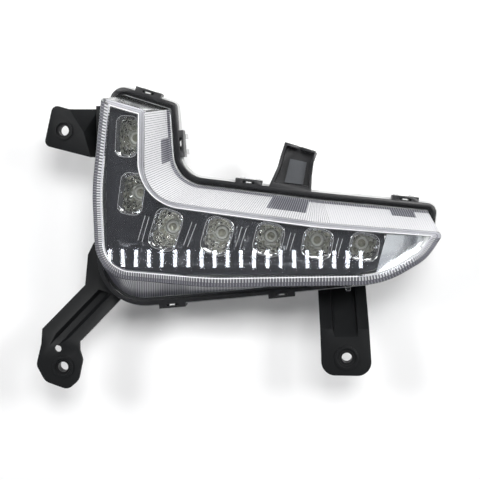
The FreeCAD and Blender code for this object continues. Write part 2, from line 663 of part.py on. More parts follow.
def screw_washers():
    back = SEAT_BACK + WASHER_THICKNESS
    rings = [rod(p, SCREW_HEAD[0], SEAT_BACK, back).cut(rod(p, SCREW_RADIUS + FIT_GAP, SEAT_BACK, back))
             for p in post_places()]
    return Part.makeCompound(rings)


def driver_screws():
    length = BOARD_THICKNESS + SCREW_BITE - FIT_GAP
    places = standoff_places()
    return Part.makeCompound([screw(Vector(x, DRIVER_FRONT, z), Vector(0, 1, 0), length) for x, z in places])


def bracket_screws():
    length = PLATE + SCREW_BITE - FIT_GAP
    return Part.makeCompound([screw(seat, along, length) for seat, along in bracket_screw_places()])


def leg(fold, run, groove):
    """Grooved channel from the fold of the foot to its root, with the groove let into the foot."""
    (x0, z0), (x1, z1) = fold
    ux, uz = unit(x1 - x0, z1 - z0)
    width = math.hypot(x1 - x0, z1 - z0)
    run = Vector(*run)
    g0, g1, slant = groove
    floor = GROOVE_DEPTH + LEG_WALL

    def swept(points, start, stop):
        base = [Vector(x0 + ux * u, y, z0 + uz * u) + run * start for u, y in points]
        return Part.Face(Part.makePolygon(base + base[:1])).extrude(run * (stop - start))

    wall = LEG_WALL
    hollow = [(g0, 0), (g0 + slant, GROOVE_DEPTH), (g1 - slant, GROOVE_DEPTH), (g1, 0)]
    front = [(0, LEG_DEPTH), (0, 0)] + hollow + [(width, 0), (width, LEG_DEPTH)]
    behind = [(width - wall, LEG_DEPTH), (width - wall, wall), (g1 + wall, wall), (g1 + wall - slant, floor),
              (g0 - wall + slant, floor), (g0 - wall, wall), (wall, wall), (wall, LEG_DEPTH)]
    end = wall / run.y
    into_foot = -GROOVE_DEPTH / run.y
    channel = swept(front + behind, 0, 1).fuse(swept(front, 1 - end, 1))
    tongue = swept(hollow[1:3] + [(g1 + wall - slant, floor), (g0 - wall + slant, floor)], into_foot, 0)
    above = -GROOVE_DEPTH * 2
    trench = swept([(g0, above)] + hollow + [(g1, above)], into_foot, 0)
    return channel, tongue, trench


def with_hole(body, place, ring):
    """Add the boss for a bush and bore it, with a lip at the back for the bush to rest on."""
    back = BUSH_LENGTH + BUSH_LIP
    body = body.fuse(rod(place, ring, -FOOT_RAISE, back))
    body = body.cut(rod(place, BUSH_RADIUS + BUSH_GAP, -FOOT_RAISE, BUSH_LENGTH))
    body = body.cut(rod(place, ring - RING_WALL, -FOOT_RAISE, 0))
    return body.cut(rod(place, (BUSH_RADIUS + BOLT_RADIUS) / 2, BUSH_LENGTH, back)).removeSplitter()


def foot_plate(fold, corners):
    start, end = fold
    return prism([(*start, 0)] + corners + [(*end, 0)], 0, PLATE)


def lower_left_bracket():
    channel, tongue, trench = leg(LOWER_LEFT_FOLD, LOWER_LEFT_RUN, LOWER_LEFT_GROOVE)
    foot = foot_plate(LOWER_LEFT_FOLD, LOWER_LEFT_FOOT).cut(trench)
    dx, y, dz = LOWER_LEFT_RUN
    start, end = [(x + dx, z + dz) for x, z in LOWER_LEFT_FOLD]
    low, high = LOWER_LEFT_SPAN
    edge = [(start[0] + right, high - down) for right, down in LOWER_LEFT_WEB]
    inner = [(end[0], low), (LOWER_LEFT_PAD, low), (LOWER_LEFT_PAD, high)]
    web = prism(sharp([start, end] + inner + edge), y, y + PLATE)
    web = web.cut(prism(inset(HOUSING_OUTER, -FIT_GAP), 0, HOUSING_DEPTH))
    root = box((LOWER_LEFT_PAD - PLATE, LOWER_LEFT_PAD), (y, HOUSING_DEPTH - PAD_MARGIN), (low, high))
    body = foot.multiFuse([channel, tongue, web, root]).cut(rod(PIN_HOLE[:2], PIN_HOLE[2], 0, PLATE))
    body = with_hole(body, LOWER_LEFT_HOLE, LOWER_LEFT_RING)
    return body.cut([screw_hole(*place) for place in bracket_screw_places()]).removeSplitter()


def lower_right_bracket():
    channel, tongue, trench = leg(LOWER_RIGHT_FOLD, LOWER_RIGHT_RUN, LOWER_RIGHT_GROOVE)
    foot = foot_plate(LOWER_RIGHT_FOLD, LOWER_RIGHT_FOOT).cut(trench)
    (x0, z0), (x1, z1) = LOWER_RIGHT_FOLD
    front = LOWER_RIGHT_RUN[1] + GROOVE_DEPTH
    root = box((x0, x1 + LOWER_RIGHT_RUN[0]), (front, HOUSING_DEPTH - PAD_MARGIN),
               (LOWER_RIGHT_PAD - PLATE, LOWER_RIGHT_PAD))
    above = box((0, x1 * 2), (0, HOUSING_DEPTH), (LOWER_RIGHT_PAD, LOWER_RIGHT_PAD * 2))
    body = foot.multiFuse([channel.cut(above), tongue, root])
    body = with_hole(body, LOWER_RIGHT_HOLE, LOWER_RIGHT_RING)
    return body.cut([screw_hole(*place) for place in bracket_screw_places()]).removeSplitter()


def bent_plate(first, second, thickness):
    """Plate between two edges, each a pair of (x, y, z) points, thickened backwards."""
    a, b, c, d = [Vector(*point) for point in first + second]
    push = Vector(0, thickness, 0)
    halves = [Part.Face(Part.makePolygon([p, q, r, p])).extrude(push) for p, q, r in ((a, b, c), (a, c, d))]
    return halves[0].fuse(halves[1])


def upper_left_bracket():
    low, high = UPPER_LEFT_SPAN
    wall = UPPER_LEFT_PAD - PLATE / 2
    foot = prism(UPPER_LEFT_FOOT, 0, PLATE)
    (ax, az), (bx, bz), (cx, cz) = [corner[:2] for corner in UPPER_LEFT_FOOT[:3]]
    deep = [(wall, UPPER_LEFT_DEEP, bz), (wall, UPPER_LEFT_DEEP, low)]
    shallow = [(wall, UPPER_LEFT_SHALLOW, high - PAD_MARGIN), (wall, UPPER_LEFT_DEEP, bz)]
    side = bent_plate([(ax, 0, az), (bx, 0, bz)], deep, PLATE)
    top = bent_plate([(bx, 0, bz), (cx, 0, cz)], shallow, PLATE)
    root = box((UPPER_LEFT_PAD - PLATE, UPPER_LEFT_PAD), (PAD_FRONT + FIT_GAP, HOUSING_DEPTH - PAD_MARGIN),
               (low, high))
    body = with_hole(foot.multiFuse([side, top, root]), UPPER_LEFT_HOLE, UPPER_LEFT_RING)
    return body.cut([screw_hole(*place) for place in bracket_screw_places()]).removeSplitter()


def bush(place):
    return rod(place, BUSH_RADIUS, 0, BUSH_LENGTH).cut(rod(place, BOLT_RADIUS, 0, BUSH_LENGTH))


PIECES = {
    "outer_lens": outer_lens(),
    "lens_seal": lens_seal(),
    "retaining_frame": retaining_frame(),
    "locator_pad": locator_pad(),
    "rear_housing": rear_housing(),
    "inner_liner": inner_liner(),
    "bezel": bezel(),
    "end_reflector": end_reflector(),
    "led_board": led_board(),
    "driver_board": driver_board(),
    "driver_inductor": driver_inductor(),
    "driver_capacitor": driver_capacitor(),
    "driver_chip": driver_chip(),
    "board_link": board_link(),
    "terminal_left": terminal(-1),
    "terminal_right": terminal(1),
    "breather_cap": breather_cap(),
    "bezel_screws": bezel_screws(),
    "screw_washers": screw_washers(),
    "driver_screws": driver_screws(),
    "bracket_screws": bracket_screws(),
    "upper_left_bracket": upper_left_bracket(),
    "lower_left_bracket": lower_left_bracket(),
    "lower_right_bracket": lower_right_bracket(),
    "upper_left_bush": bush(UPPER_LEFT_HOLE),
    "lower_left_bush": bush(LOWER_LEFT_HOLE),
    "lower_right_bush": bush(LOWER_RIGHT_HOLE),
}
for number, led in enumerate(LEDS, 1):
    PIECES[f"reflector_{number}"] = reflector(led)
    PIECES[f"led_{number}"] = led_lamp(led)

for node, shape in PIECES.items():
    shape.exportStep(f"parts/{node}.step")
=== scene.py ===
# %% [markdown]
# # An L-shaped LED daytime running lamp
# The lamp lies on its back on a white table: a clear fluted lens over a gloss black bezel with seven
# mirror cups, a black rim held by clips, and three black moulded brackets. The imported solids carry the
# lamp's sizes, so this lesson mostly dresses them: it adds the bevel and the fine flutes of the lens,
# lively facets, rounded edges and finishes, then the light and the camera.

# %% Load the solids
import json
import math

import bmesh
import bpy
import numpy as np
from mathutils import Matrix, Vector


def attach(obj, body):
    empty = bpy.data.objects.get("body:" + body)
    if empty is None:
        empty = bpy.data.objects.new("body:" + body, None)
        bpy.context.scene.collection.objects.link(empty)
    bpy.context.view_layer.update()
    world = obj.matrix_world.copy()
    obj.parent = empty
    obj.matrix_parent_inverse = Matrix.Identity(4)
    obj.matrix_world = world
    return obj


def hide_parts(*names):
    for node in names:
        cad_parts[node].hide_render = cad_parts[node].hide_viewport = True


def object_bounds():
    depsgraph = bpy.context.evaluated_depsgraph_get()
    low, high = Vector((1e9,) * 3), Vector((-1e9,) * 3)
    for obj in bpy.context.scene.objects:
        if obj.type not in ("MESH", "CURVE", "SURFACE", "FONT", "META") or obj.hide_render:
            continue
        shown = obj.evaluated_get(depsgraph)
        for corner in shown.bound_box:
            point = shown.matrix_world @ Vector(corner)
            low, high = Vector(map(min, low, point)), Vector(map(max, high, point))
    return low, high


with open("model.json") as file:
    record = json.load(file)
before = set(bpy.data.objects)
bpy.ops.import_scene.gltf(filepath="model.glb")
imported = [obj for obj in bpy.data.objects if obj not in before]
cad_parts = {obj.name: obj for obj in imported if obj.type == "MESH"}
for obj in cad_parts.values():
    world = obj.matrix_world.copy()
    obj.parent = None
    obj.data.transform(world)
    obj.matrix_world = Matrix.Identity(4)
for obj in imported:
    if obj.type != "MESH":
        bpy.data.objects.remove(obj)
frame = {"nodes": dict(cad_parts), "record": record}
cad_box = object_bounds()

MM = 0.001
print("CAD box in mm:", [[round(v / MM, 1) for v in corner] for corner in cad_box])

# %% [markdown]
# Colours are picked as sRGB hex values, as a paint program shows them, but shaders work in linear
# light. One function does the conversion. A second one adds a node with its settings and links, so
# every material below reads as a short list of what the surface is made of. Most surfaces fade between
# two close tones by a noise of a real size, which a third one makes.

# %% Colour and node helpers
# The sockets of a colour mix share their names with others, so they are reached by number
MIX_FACTOR, MIX_FIRST, MIX_SECOND, MIX_RESULT = 0, 6, 7, 2


def linear(hex_colour):
    """Linear RGBA of an sRGB hex colour, by the curve of the sRGB standard."""
    channels = [int(hex_colour[i:i + 2], 16) / 255 for i in (1, 3, 5)]
    return tuple(c / 12.92 if c <= 0.04045 else ((c + 0.055) / 1.055) ** 2.4 for c in channels) + (1.0,)


def add(tree, kind, inputs=None, **settings):
    """Add a node; an input is either a value or the output socket of another node."""
    node = tree.nodes.new(kind)
    for name, value in settings.items():
        setattr(node, name, value)
    for socket, value in (inputs or {}).items():
        if isinstance(value, bpy.types.NodeSocket):
            tree.links.new(value, node.inputs[socket])
        else:
            node.inputs[socket].default_value = value
    return node


def mottled(tree, size_mm, detail, dark, light):
    """Noise of a real size, fixed to the object, and the colour that it gives between two tones."""
    place = add(tree, "ShaderNodeTexCoord").outputs["Object"]
    noise = add(tree, "ShaderNodeTexNoise", {"Vector": place, "Scale": 1 / (size_mm * MM), "Detail": detail})
    field = noise.outputs["Fac"]
    tint = add(tree, "ShaderNodeMix", {MIX_FACTOR: field, MIX_FIRST: linear(dark), MIX_SECOND: linear(light)},
               data_type="RGBA")
    return field, tint.outputs[MIX_RESULT]


def new_material(name):
    material = bpy.data.materials.new(name)
    material.use_nodes = True
    material.node_tree.nodes.clear()
    return material, material.node_tree


def finish_material(tree, shader):
    add(tree, "ShaderNodeOutputMaterial", {"Surface": shader.outputs[0]})


print("mid grey #808080 in linear light:", round(linear("#808080")[0], 3))

# %% [markdown]
# The brackets are injection-moulded polypropylene with a spark-eroded grain: matt charcoal, grain
# about 0.6 mm, and faint lighter patches where the melt flowed. Noise at the grain's real size goes
# into bump and roughness, a slow noise into the colour. The other plastics of the lamp differ only
# in colour, gloss and grain, so one function makes them all.

# %% Moulded plastics
FLOW_MM = 14
DULL_SHARE, BRIGHT_SHARE = 1.15, 0.85
GRAIN_STRENGTH = 0.6


def moulded_plastic(name, dark, light, roughness, grain_mm, grain_depth_mm, ior=1.49, shine=0.5):
    """Moulded plastic: slow flow marks in the colour, fine grain in bump and roughness."""
    material, tree = new_material(name)
    _, tint = mottled(tree, FLOW_MM, 3.0, dark, light)
    place = add(tree, "ShaderNodeTexCoord").outputs["Object"]
    grain = add(tree, "ShaderNodeTexNoise", {"Vector": place, "Scale": 1 / (grain_mm * MM), "Detail": 2.0})
    gloss = add(tree, "ShaderNodeMapRange", {"Value": grain.outputs["Fac"],
                                             "To Min": roughness * BRIGHT_SHARE,
                                             "To Max": roughness * DULL_SHARE})
    bump = add(tree, "ShaderNodeBump", {"Height": grain.outputs["Fac"], "Strength": GRAIN_STRENGTH,
                                        "Distance": grain_depth_mm * MM})
    shader = add(tree, "ShaderNodeBsdfPrincipled", {"Base Color": tint, "IOR": ior,
                                                    "Specular IOR Level": shine,
                                                    "Roughness": gloss.outputs[0],
                                                    "Normal": bump.outputs[0]})
    finish_material(tree, shader)
    return material


# Spark-eroded grain: matt, with a soft sheen on the edges; the pits of the grain swallow part of the gloss
charcoal_polypropylene = moulded_plastic("charcoal_polypropylene", "#0f1011", "#161718", 0.46, 0.6, 0.06,
                                         shine=0.12)
# Polished tool: satin, so the clips pick up thin highlights
black_polypropylene = moulded_plastic("black_polypropylene", "#101012", "#191a1c", 0.32, 0.6, 0.02, shine=0.3)
# Housing and liner: pale, smooth, a little translucent-looking satin
pale_grey_abs = moulded_plastic("pale_grey_abs", "#c6c7c7", "#d1d1d0", 0.42, 0.5, 0.01, ior=1.54)
white_abs = moulded_plastic("white_abs", "#eeeeec", "#f4f4f2", 0.45, 0.5, 0.01, ior=1.54)
# Mirror-polished tool: deep gloss with the faintest orange peel
gloss_black_abs = moulded_plastic("gloss_black_abs", "#18181b", "#1e1f22", 0.07, 7.0, 0.004, ior=1.54)
# Closed-cell foam: open cells of about 0.7 mm at the cut face
grey_foam = moulded_plastic("grey_foam", "#45474a", "#525457", 0.85, 0.7, 0.25, ior=1.4)
# Pressed rubber, and a bead of sealant, which cures with a dull skin
black_rubber = moulded_plastic("black_rubber", "#171717", "#202020", 0.7, 0.5, 0.03, ior=1.52)
black_sealant = moulded_plastic("black_sealant", "#1a1a1b", "#222223", 0.55, 0.8, 0.05, ior=1.43)
# Parts of the boards: cast epoxy, fired ceramic, screen-printed solder mask and sintered ferrite
black_epoxy = moulded_plastic("black_epoxy", "#151515", "#1e1e1e", 0.6, 0.5, 0.01, ior=1.55)
grey_ceramic = moulded_plastic("grey_ceramic", "#a3a39c", "#b0b0aa", 0.4, 0.5, 0.01, ior=1.7)
white_solder_mask = moulded_plastic("white_solder_mask", "#dfe0dc", "#e9e9e5", 0.35, 0.6, 0.01, ior=1.55)
green_solder_mask = moulded_plastic("green_solder_mask", "#12512c", "#1a6236", 0.3, 0.6, 0.02, ior=1.55)
grey_ferrite = moulded_plastic("grey_ferrite", "#2f3032", "#3b3c3e", 0.6, 0.5, 0.03, ior=1.6)
print("moulded finishes:", len(bpy.data.materials))

# %% [markdown]
# The cups are ABS with a vacuum-metallised aluminium film under clear lacquer: a bright mirror with a
# little haze. The steel of bushes and screws is duller. Metals keep the default IOR; only colour,
# roughness and a slight haze of noise differ.

# %% Metals
SMOOTHEST = 0.02


def metal(name, dark, light, roughness, haze_mm, haze=0.04):
    """Metal or metal film: haze varies the roughness, tint varies a little with it."""
    material, tree = new_material(name)
    cloud, tint = mottled(tree, haze_mm, 4.0, dark, light)
    spread = add(tree, "ShaderNodeMapRange", {"Value": cloud, "To Min": max(roughness - haze, SMOOTHEST),
                                              "To Max": roughness + haze})
    shader = add(tree, "ShaderNodeBsdfPrincipled", {"Base Color": tint, "Metallic": 1.0,
                                                    "Roughness": spread.outputs[0]})
    finish_material(tree, shader)
    return material


# Metal films laid on plastic: a vacuum-coated mirror, and a duller silver one for the wing
mirror_coat = metal("metallised_abs", "#e9e9e7", "#f5f5f4", 0.06, 3.0, 0.03)
silver_coat = metal("satin_silver_film", "#d3d5d8", "#e3e5e7", 0.17, 8.0)
# Steel: screws with a bright zinc plating, bushes with a dark phosphate skin
zinc_steel = metal("zinc_plated_steel", "#a9abae", "#bfc1c2", 0.32, 1.5, 0.08)
bush_steel = metal("phosphated_steel", "#1a1a1b", "#262627", 0.5, 1.2, 0.08)
# Stamped terminals with a dip of tin, and the drawn can of the capacitor
tinned_brass = metal("tinned_brass", "#c9c4b6", "#d8d4c8", 0.25, 1.0)
aluminium_can = metal("drawn_aluminium", "#c3c5c7", "#d2d3d4", 0.3, 1.0)
print("finishes so far:", len(bpy.data.materials))

# %% [markdown]
# Clear polycarbonate bends light with an IOR of 1.585. Cycles does not send lamp light straight
# through refracting glass, so shadow rays see a clear pass-through instead: the cups behind the lens
# are then lit as they are on the table. A trace of moulding flow keeps the faces from being perfect.
# The stripes of the ribs, flutes and bevel are painted light and shade: partly clear, rough finishes in
# white, grey-white and dark grey, with a fine mottle.

# %% Clear polycarbonate and its painted finishes
POLYCARBONATE_IOR = 1.585
LENS_FLOW_MM, LENS_WAVE_MM = 18, 0.05
SKIN_GRAIN_MM = 0.8


def clear_plastic(name, tint, roughness):
    """Clear plastic that bends what is seen through it, while lamps shine straight through."""
    material, tree = new_material(name)
    place = add(tree, "ShaderNodeTexCoord").outputs["Object"]
    flow = add(tree, "ShaderNodeTexNoise", {"Vector": place, "Scale": 1 / (LENS_FLOW_MM * MM), "Detail": 1.0})
    bump = add(tree, "ShaderNodeBump", {"Height": flow.outputs["Fac"], "Strength": 0.15,
                                        "Distance": LENS_WAVE_MM * MM})
    solid = add(tree, "ShaderNodeBsdfPrincipled", {"Base Color": linear(tint), "Roughness": roughness,
                                                   "IOR": POLYCARBONATE_IOR, "Transmission Weight": 1.0,
                                                   "Normal": bump.outputs[0]})
    through = add(tree, "ShaderNodeBsdfTransparent", {"Color": linear("#f1f3f4")})
    rays = add(tree, "ShaderNodeLightPath")
    mixed = add(tree, "ShaderNodeMixShader", {0: rays.outputs["Is Shadow Ray"], 1: solid.outputs[0],
                                              2: through.outputs[0]})
    finish_material(tree, mixed)
    return material


def painted_lens_finish(name, dark, light, roughness, clear):
    """Rough lens finish whose colour is painted light or shade, mottled; clear is the share that still
    passes.
    """
    material, tree = new_material(name)
    _, tint = mottled(tree, SKIN_GRAIN_MM, 2.0, dark, light)
    shader = add(tree, "ShaderNodeBsdfPrincipled", {"Base Color": tint, "Roughness": roughness,
                                                    "IOR": POLYCARBONATE_IOR, "Transmission Weight": clear})
    finish_material(tree, shader)
    return material


clear_polycarbonate = clear_plastic("clear_polycarbonate", "#fafbfb", 0.02)
# Crests of the ribs, the face edge and the upper wall: painted light, standing for the light of the whole
# room and of the white liner behind
painted_light_polycarbonate = painted_lens_finish("painted_light_polycarbonate", "#ececef", "#f8f8f9", 0.5, 0.2)
# Valleys between the ribs, lines, bands and pockets: painted shade, standing for the dark of the bezel and of
# the rim that steep valleys hand on
painted_shade_polycarbonate = painted_lens_finish("painted_shade_polycarbonate", "#4c4c56", "#5e5e68", 0.3, 0.35)
# Smooth bevel and the crests of the lower flutes: half clear, with a painted grey-white for the glint they
# show
painted_half_light_polycarbonate = painted_lens_finish("painted_half_light_polycarbonate", "#b9b9c2", "#c9c9d0", 0.35, 0.45)
LENS_FINISHES = (clear_polycarbonate, painted_light_polycarbonate, painted_shade_polycarbonate, painted_half_light_polycarbonate)
# Clear, then painted light, painted shade and painted half light
CLEAR, PAINTED_LIGHT, PAINTED_SHADE, PAINTED_HALF_LIGHT = range(len(LENS_FINISHES))
print("lens materials:", [finish.name for finish in LENS_FINISHES])

# %% [markdown]
# Each LED is a grey ceramic ring round a yellowish phosphor under clear silicone. The phosphor gets its
# own finish: soft scatter and a glossy coat.

# %% LED phosphor
GRIT_MM = 0.6


def phosphor_finish():
    """Phosphor grit, stirred into silicone gel and cast: dull, with a wet skin."""
    material, tree = new_material("silicone_phosphor")
    _, tint = mottled(tree, GRIT_MM, 2.0, "#7b7a6c", "#949284")
    shader = add(tree, "ShaderNodeBsdfPrincipled", {"Base Color": tint, "Roughness": 0.4, "IOR": 1.41,
                                                    "Coat Weight": 0.8, "Coat Roughness": 0.05})
    finish_material(tree, shader)
    return material


led_phosphor = phosphor_finish()
print("LED material:", led_phosphor.name)

# %% [markdown]
# Every solid now gets the finish of its material slot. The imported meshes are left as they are; only
# their materials change.

# %% Give the solids their finishes
FINISHES = {
    "clear_polycarbonate": clear_polycarbonate, "black_sealant": black_sealant,
    "black_polypropylene": black_polypropylene, "pale_grey_abs": pale_grey_abs,
    "white_abs": white_abs, "grey_foam": grey_foam,
    "gloss_black_abs": gloss_black_abs, "silver_coat": silver_coat, "mirror_coat": mirror_coat,
    "led_phosphor": led_phosphor, "white_solder_mask": white_solder_mask,
    "green_solder_mask": green_solder_mask, "grey_ferrite": grey_ferrite, "aluminium_can": aluminium_can,
    "black_epoxy": black_epoxy, "tinned_brass": tinned_brass, "black_rubber": black_rubber,
    "zinc_steel": zinc_steel, "charcoal_polypropylene": charcoal_polypropylene, "bush_steel": bush_steel}
SLOTS = {piece["node"]: piece["material_slot"] for piece in frame["record"]["subparts"]}
for name, solid in frame["nodes"].items():
    solid.data.materials.clear()
    solid.data.materials.append(FINISHES[SLOTS[name]])
print("solids with a finish:", len(frame["nodes"]))

# %% [markdown]
# The pieces below are meshes made here, so a few functions do what they all need: faces between rows of
# points, a mesh whose faces all look outwards, smooth shading up to a crease, and an object that rides on
# the lamp's body, in the place of a solid or added to the solids.

# %% Mesh helpers
def loft_faces(rows, count, closed):
    """Faces between rows of count points that close round; the last row meets the first one if closed."""
    faces = []
    for row in range(rows if closed else rows - 1):
        after = (row + 1) % rows
        for k in range(count):
            n = (k + 1) % count
            faces.append((row * count + k, row * count + n, after * count + n, after * count + k))
    return faces


def outward_mesh(name, points, faces, materials, merge_mm=0.0):
    """Mesh from points in mm, its near points merged and all its faces turned outwards."""
    mesh = bpy.data.meshes.new(name)
    mesh.from_pydata((np.array(points) * MM).tolist(), [], faces)
    shaped = bmesh.new()
    shaped.from_mesh(mesh)
    if merge_mm:
        bmesh.ops.remove_doubles(shaped, verts=shaped.verts, dist=merge_mm * MM)
    bmesh.ops.recalc_face_normals(shaped, faces=shaped.faces)
    shaped.to_mesh(mesh)
    shaped.free()
    for material in materials:
        mesh.materials.append(material)
    return mesh


def shade_smooth(mesh, crease=None):
    """Smooth shading, broken where faces meet at more than the crease angle, if one is given."""
    for polygon in mesh.polygons:
        polygon.use_smooth = True
    if crease:
        mesh.set_sharp_from_angle(angle=math.radians(crease))


def add_piece(name, mesh, node=None):
    """Object for a mesh, riding on the lamp's body; it stands for a node, if one is given."""
    piece = bpy.data.objects.new(name, mesh)
    bpy.context.collection.objects.link(piece)
    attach(piece, "root")
    if node:
        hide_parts(node)
    return piece


print("material slots in use:", len(set(SLOTS.values())))

# %% [markdown]
# Moulded edges are never knife sharp, and it is their small radius that catches the light. A copy of
# each visible moulding gets its flat triangles merged and its edges rounded by a bevel, and stands
# for the solid.

# %% Round the edges of the mouldings
EDGE_RADII = {"upper_left_bracket": 0.5, "lower_left_bracket": 0.5, "lower_right_bracket": 0.5,
              "retaining_frame": 0.3, "bezel": 0.5, "rear_housing": 0.3}
MERGE_MM = 0.002
FLAT_ANGLE, EDGE_ANGLE = 0.6, 28
EDGE_STEPS = 3


def rounded_copy(node, radius_mm):
    """Copy of a solid with its edges rounded, which is shown in its place."""
    mesh = frame["nodes"][node].data.copy()
    shaped = bmesh.new()
    shaped.from_mesh(mesh)
    bmesh.ops.remove_doubles(shaped, verts=shaped.verts, dist=MERGE_MM * MM)
    bmesh.ops.dissolve_limit(shaped, angle_limit=math.radians(FLAT_ANGLE), verts=shaped.verts,
                             edges=shaped.edges)
    shaped.to_mesh(mesh)
    shaped.free()
    shade_smooth(mesh)
    piece = add_piece(node + "_rounded", mesh, node)
    bevel = piece.modifiers.new("edge radius", "BEVEL")
    bevel.width = radius_mm * MM
    bevel.segments = EDGE_STEPS
    bevel.limit_method = "ANGLE"
    bevel.angle_limit = math.radians(EDGE_ANGLE)
    bevel.harden_normals = True
    return piece


for node, radius_mm in EDGE_RADII.items():
    piece = rounded_copy(node, radius_mm)
    print(node, "faces before rounding:", len(piece.data.polygons))

# %% [markdown]
# The lens is the piece that makes this lamp. Its side walls carry fine flutes that run from the rim to
# the shoulder, and the left, lower and right bevels carry ribs. The outlines are the lens's own: corner
# points with radii, moved in or out.

# %% Lens outlines
RIM = [(24, 38, 30), (110, 46, 200), (206, 56.5, 60), (236, 76, 30), (239.3, 106.4, 6),
       (165, 113.5, 250), (78, 124.2, 16), (75, 169.9, 4), (34, 182.6, 9), (22.5, 115, 150)]
SHOULDER = [(28.3, 61.5, 24), (100, 55.6, 200), (204, 58, 60), (230.5, 74, 30), (240.5, 90, 2.5),
            (165, 95.8, 250), (57.8, 110.2, 22.5), (58.8, 164.2, 2), (32.2, 172, 2), (26, 115, 150)]
# A side is the arc at a corner and the straight that follows it
SIDES = range(len(RIM))
LOWER_LEFT, LOWER, LOWER_RIGHT, RIGHT, UPPER_RIGHT, UPPER, ARM, TOP, LEFT_ARM, LEFT = SIDES
WIDE_MITRE, BEVEL_MITRE = 9.0, 1.3
LEAST_RADIUS = 0.4
ARC_ROOM = 0.48


def unit(x, z):
    length = math.hypot(x, z)
    return x / length, z / length


def inset(corners, distance, mitre=WIDE_MITRE, narrow=None):
    """Outline moved inwards; mitre limits how far a corner moves, narrow gives sides a way of their own."""
    moved = []
    ways = [(narrow or {}).get(i, distance) for i in range(len(corners))]
    for i, (x, z, radius) in enumerate(corners):
        before, after = corners[i - 1], corners[(i + 1) % len(corners)]
        ax, az = unit(x - before[0], z - before[1])
        bx, bz = unit(after[0] - x, after[1] - z)
        scale = distance / (1 + ax * bx + az * bz)
        sx, sz = -(az + bz) * scale, (ax + bx) * scale
        sine = ax * bz - az * bx
        if ways[i - 1] != ways[i]:
            sx, sz = (bx * ways[i - 1] - ax * ways[i]) / sine, (bz * ways[i - 1] - az * ways[i]) / sine
        elif ways[i] != distance:
            sx, sz = sx * ways[i] / distance, sz * ways[i] / distance
        limit = min(1.0, abs(distance) * mitre / max(math.hypot(sx, sz), 1e-9))
        bend = radius - distance if sine > 0 else radius + distance
        moved.append((x + sx * limit, z + sz * limit, max(bend, LEAST_RADIUS)))
    return moved


def corner_runs(corners):
    """Start, centre and sweep of the arc at each corner; an arc takes no more than its share of a side."""
    arcs = []
    for i, (x, z, radius) in enumerate(corners):
        before, after = corners[i - 1], corners[(i + 1) % len(corners)]
        ax, az = unit(x - before[0], z - before[1])
        bx, bz = unit(after[0] - x, after[1] - z)
        turn = math.atan2(ax * bz - az * bx, ax * bx + az * bz)
        half = abs(turn) / 2
        room = ARC_ROOM * min(math.dist((x, z), before[:2]), math.dist((x, z), after[:2]))
        reach = min(radius * math.tan(half), room)
        bend = reach / math.tan(half)
        side = 1 if turn > 0 else -1
        start = (x - ax * reach, z - az * reach)
        centre = (start[0] - az * bend * side, start[1] + ax * bend * side)
        arcs.append((start, centre, turn))
    return arcs


print("arcs round the rim:", len(corner_runs(RIM)))

# %% [markdown]
# A place on an outline is a corner, its arc or the straight after it, and a share of that. Taking the
# same places on every outline keeps the flutes straight, and whole flutes fit on every arc and straight.

# %% Places round the lens
def outline_points(corners, shares):
    """Points on an outline at the given (corner, on arc or straight, share) places."""
    arcs = corner_runs(corners)
    points = []
    for i, on_arc, share in shares:
        (sx, sz), (cx, cz), turn = arcs[i]
        angle = turn * (share if on_arc else 1)
        c, s = math.cos(angle), math.sin(angle)
        x, z = cx + (sx - cx) * c - (sz - cz) * s, cz + (sx - cx) * s + (sz - cz) * c
        if not on_arc:
            nx, nz = arcs[(i + 1) % len(arcs)][0]
            x, z = x + (nx - x) * share, z + (nz - z) * share
        points.append((x, z))
    return np.array(points)


def run_lengths(corners):
    """Length of each arc and of each straight of an outline, in turn."""
    arcs = corner_runs(corners)
    ends = outline_points(corners, [(i, True, 1.0) for i in range(len(arcs))])
    lengths = []
    for i, (start, centre, turn) in enumerate(arcs):
        lengths.append(abs(turn) * math.dist(start, centre))
        lengths.append(math.dist(ends[i], arcs[(i + 1) % len(arcs)][0]))
    return lengths


def fluted_shares(outlines, pitches, steps):
    """Places along the outlines, steps to a flute, with whole flutes on every arc and straight."""
    shares = []
    for run, length in enumerate(np.max([run_lengths(corners) for corners in outlines], axis=0)):
        count = steps * max(1, round(length / pitches[run // 2]))
        shares += [(run // 2, run % 2 == 0, k / count) for k in range(count)]
    return shares


# The real flutes are 1.3 mm apart and the ribs of the bevel finer still. Both are drawn a little
# coarser, because at their real pitch they would be lost between two pixels.
FLUTE_PITCH, RIB_PITCH = 1.45, 1.9
STEPS_PER_FLUTE = 6
RIBBED_SIDES = (LEFT, LOWER_LEFT, LOWER, LOWER_RIGHT, RIGHT)
FOOT_INSET, PITCH_INSET = 4.8, 6.0
foot = inset(RIM, FOOT_INSET)
pitches = [RIB_PITCH if i in (LEFT_ARM, *RIBBED_SIDES) else FLUTE_PITCH for i in SIDES]
shares = fluted_shares([inset(RIM, PITCH_INSET), SHOULDER], pitches, STEPS_PER_FLUTE)
print("points round the lens:", len(shares), "flutes:", len(shares) // STEPS_PER_FLUTE)

# %% [markdown]
# The lens mesh is a chain of closed rings: face edge, bevel, shoulder, wall, flange, then back along the
# smooth inside. Ribs and flutes push the outer rings inwards. The flutes of the lower wall stand upright
# and fan out a little from the middle of the lamp to its rim.

# %% Rings of the lens
LENS_DEPTH, BEVEL_DEPTH, BEVEL_WIDTH, LENS_WALL = 34.0, 5.0, 5.6, 2.5
NARROW_BEVEL = {UPPER_RIGHT: 2.2, UPPER: 2.2, ARM: 2.4, TOP: 2.8}
FLANGE, FLANGE_INSET = 3.0, 1.9
FLUTE_DEPTH, RIB_DEPTH = 0.06, 0.25
# Width in mm of the strip along the face edge that carries a painted highlight
EDGE_LINE = 0.7
SHOULDER_Y = BEVEL_DEPTH - LENS_DEPTH
FAN, FAN_CENTRE = 0.0015, 162.0
UPRIGHT_FROM, EASE_POINTS = 0.6, 60

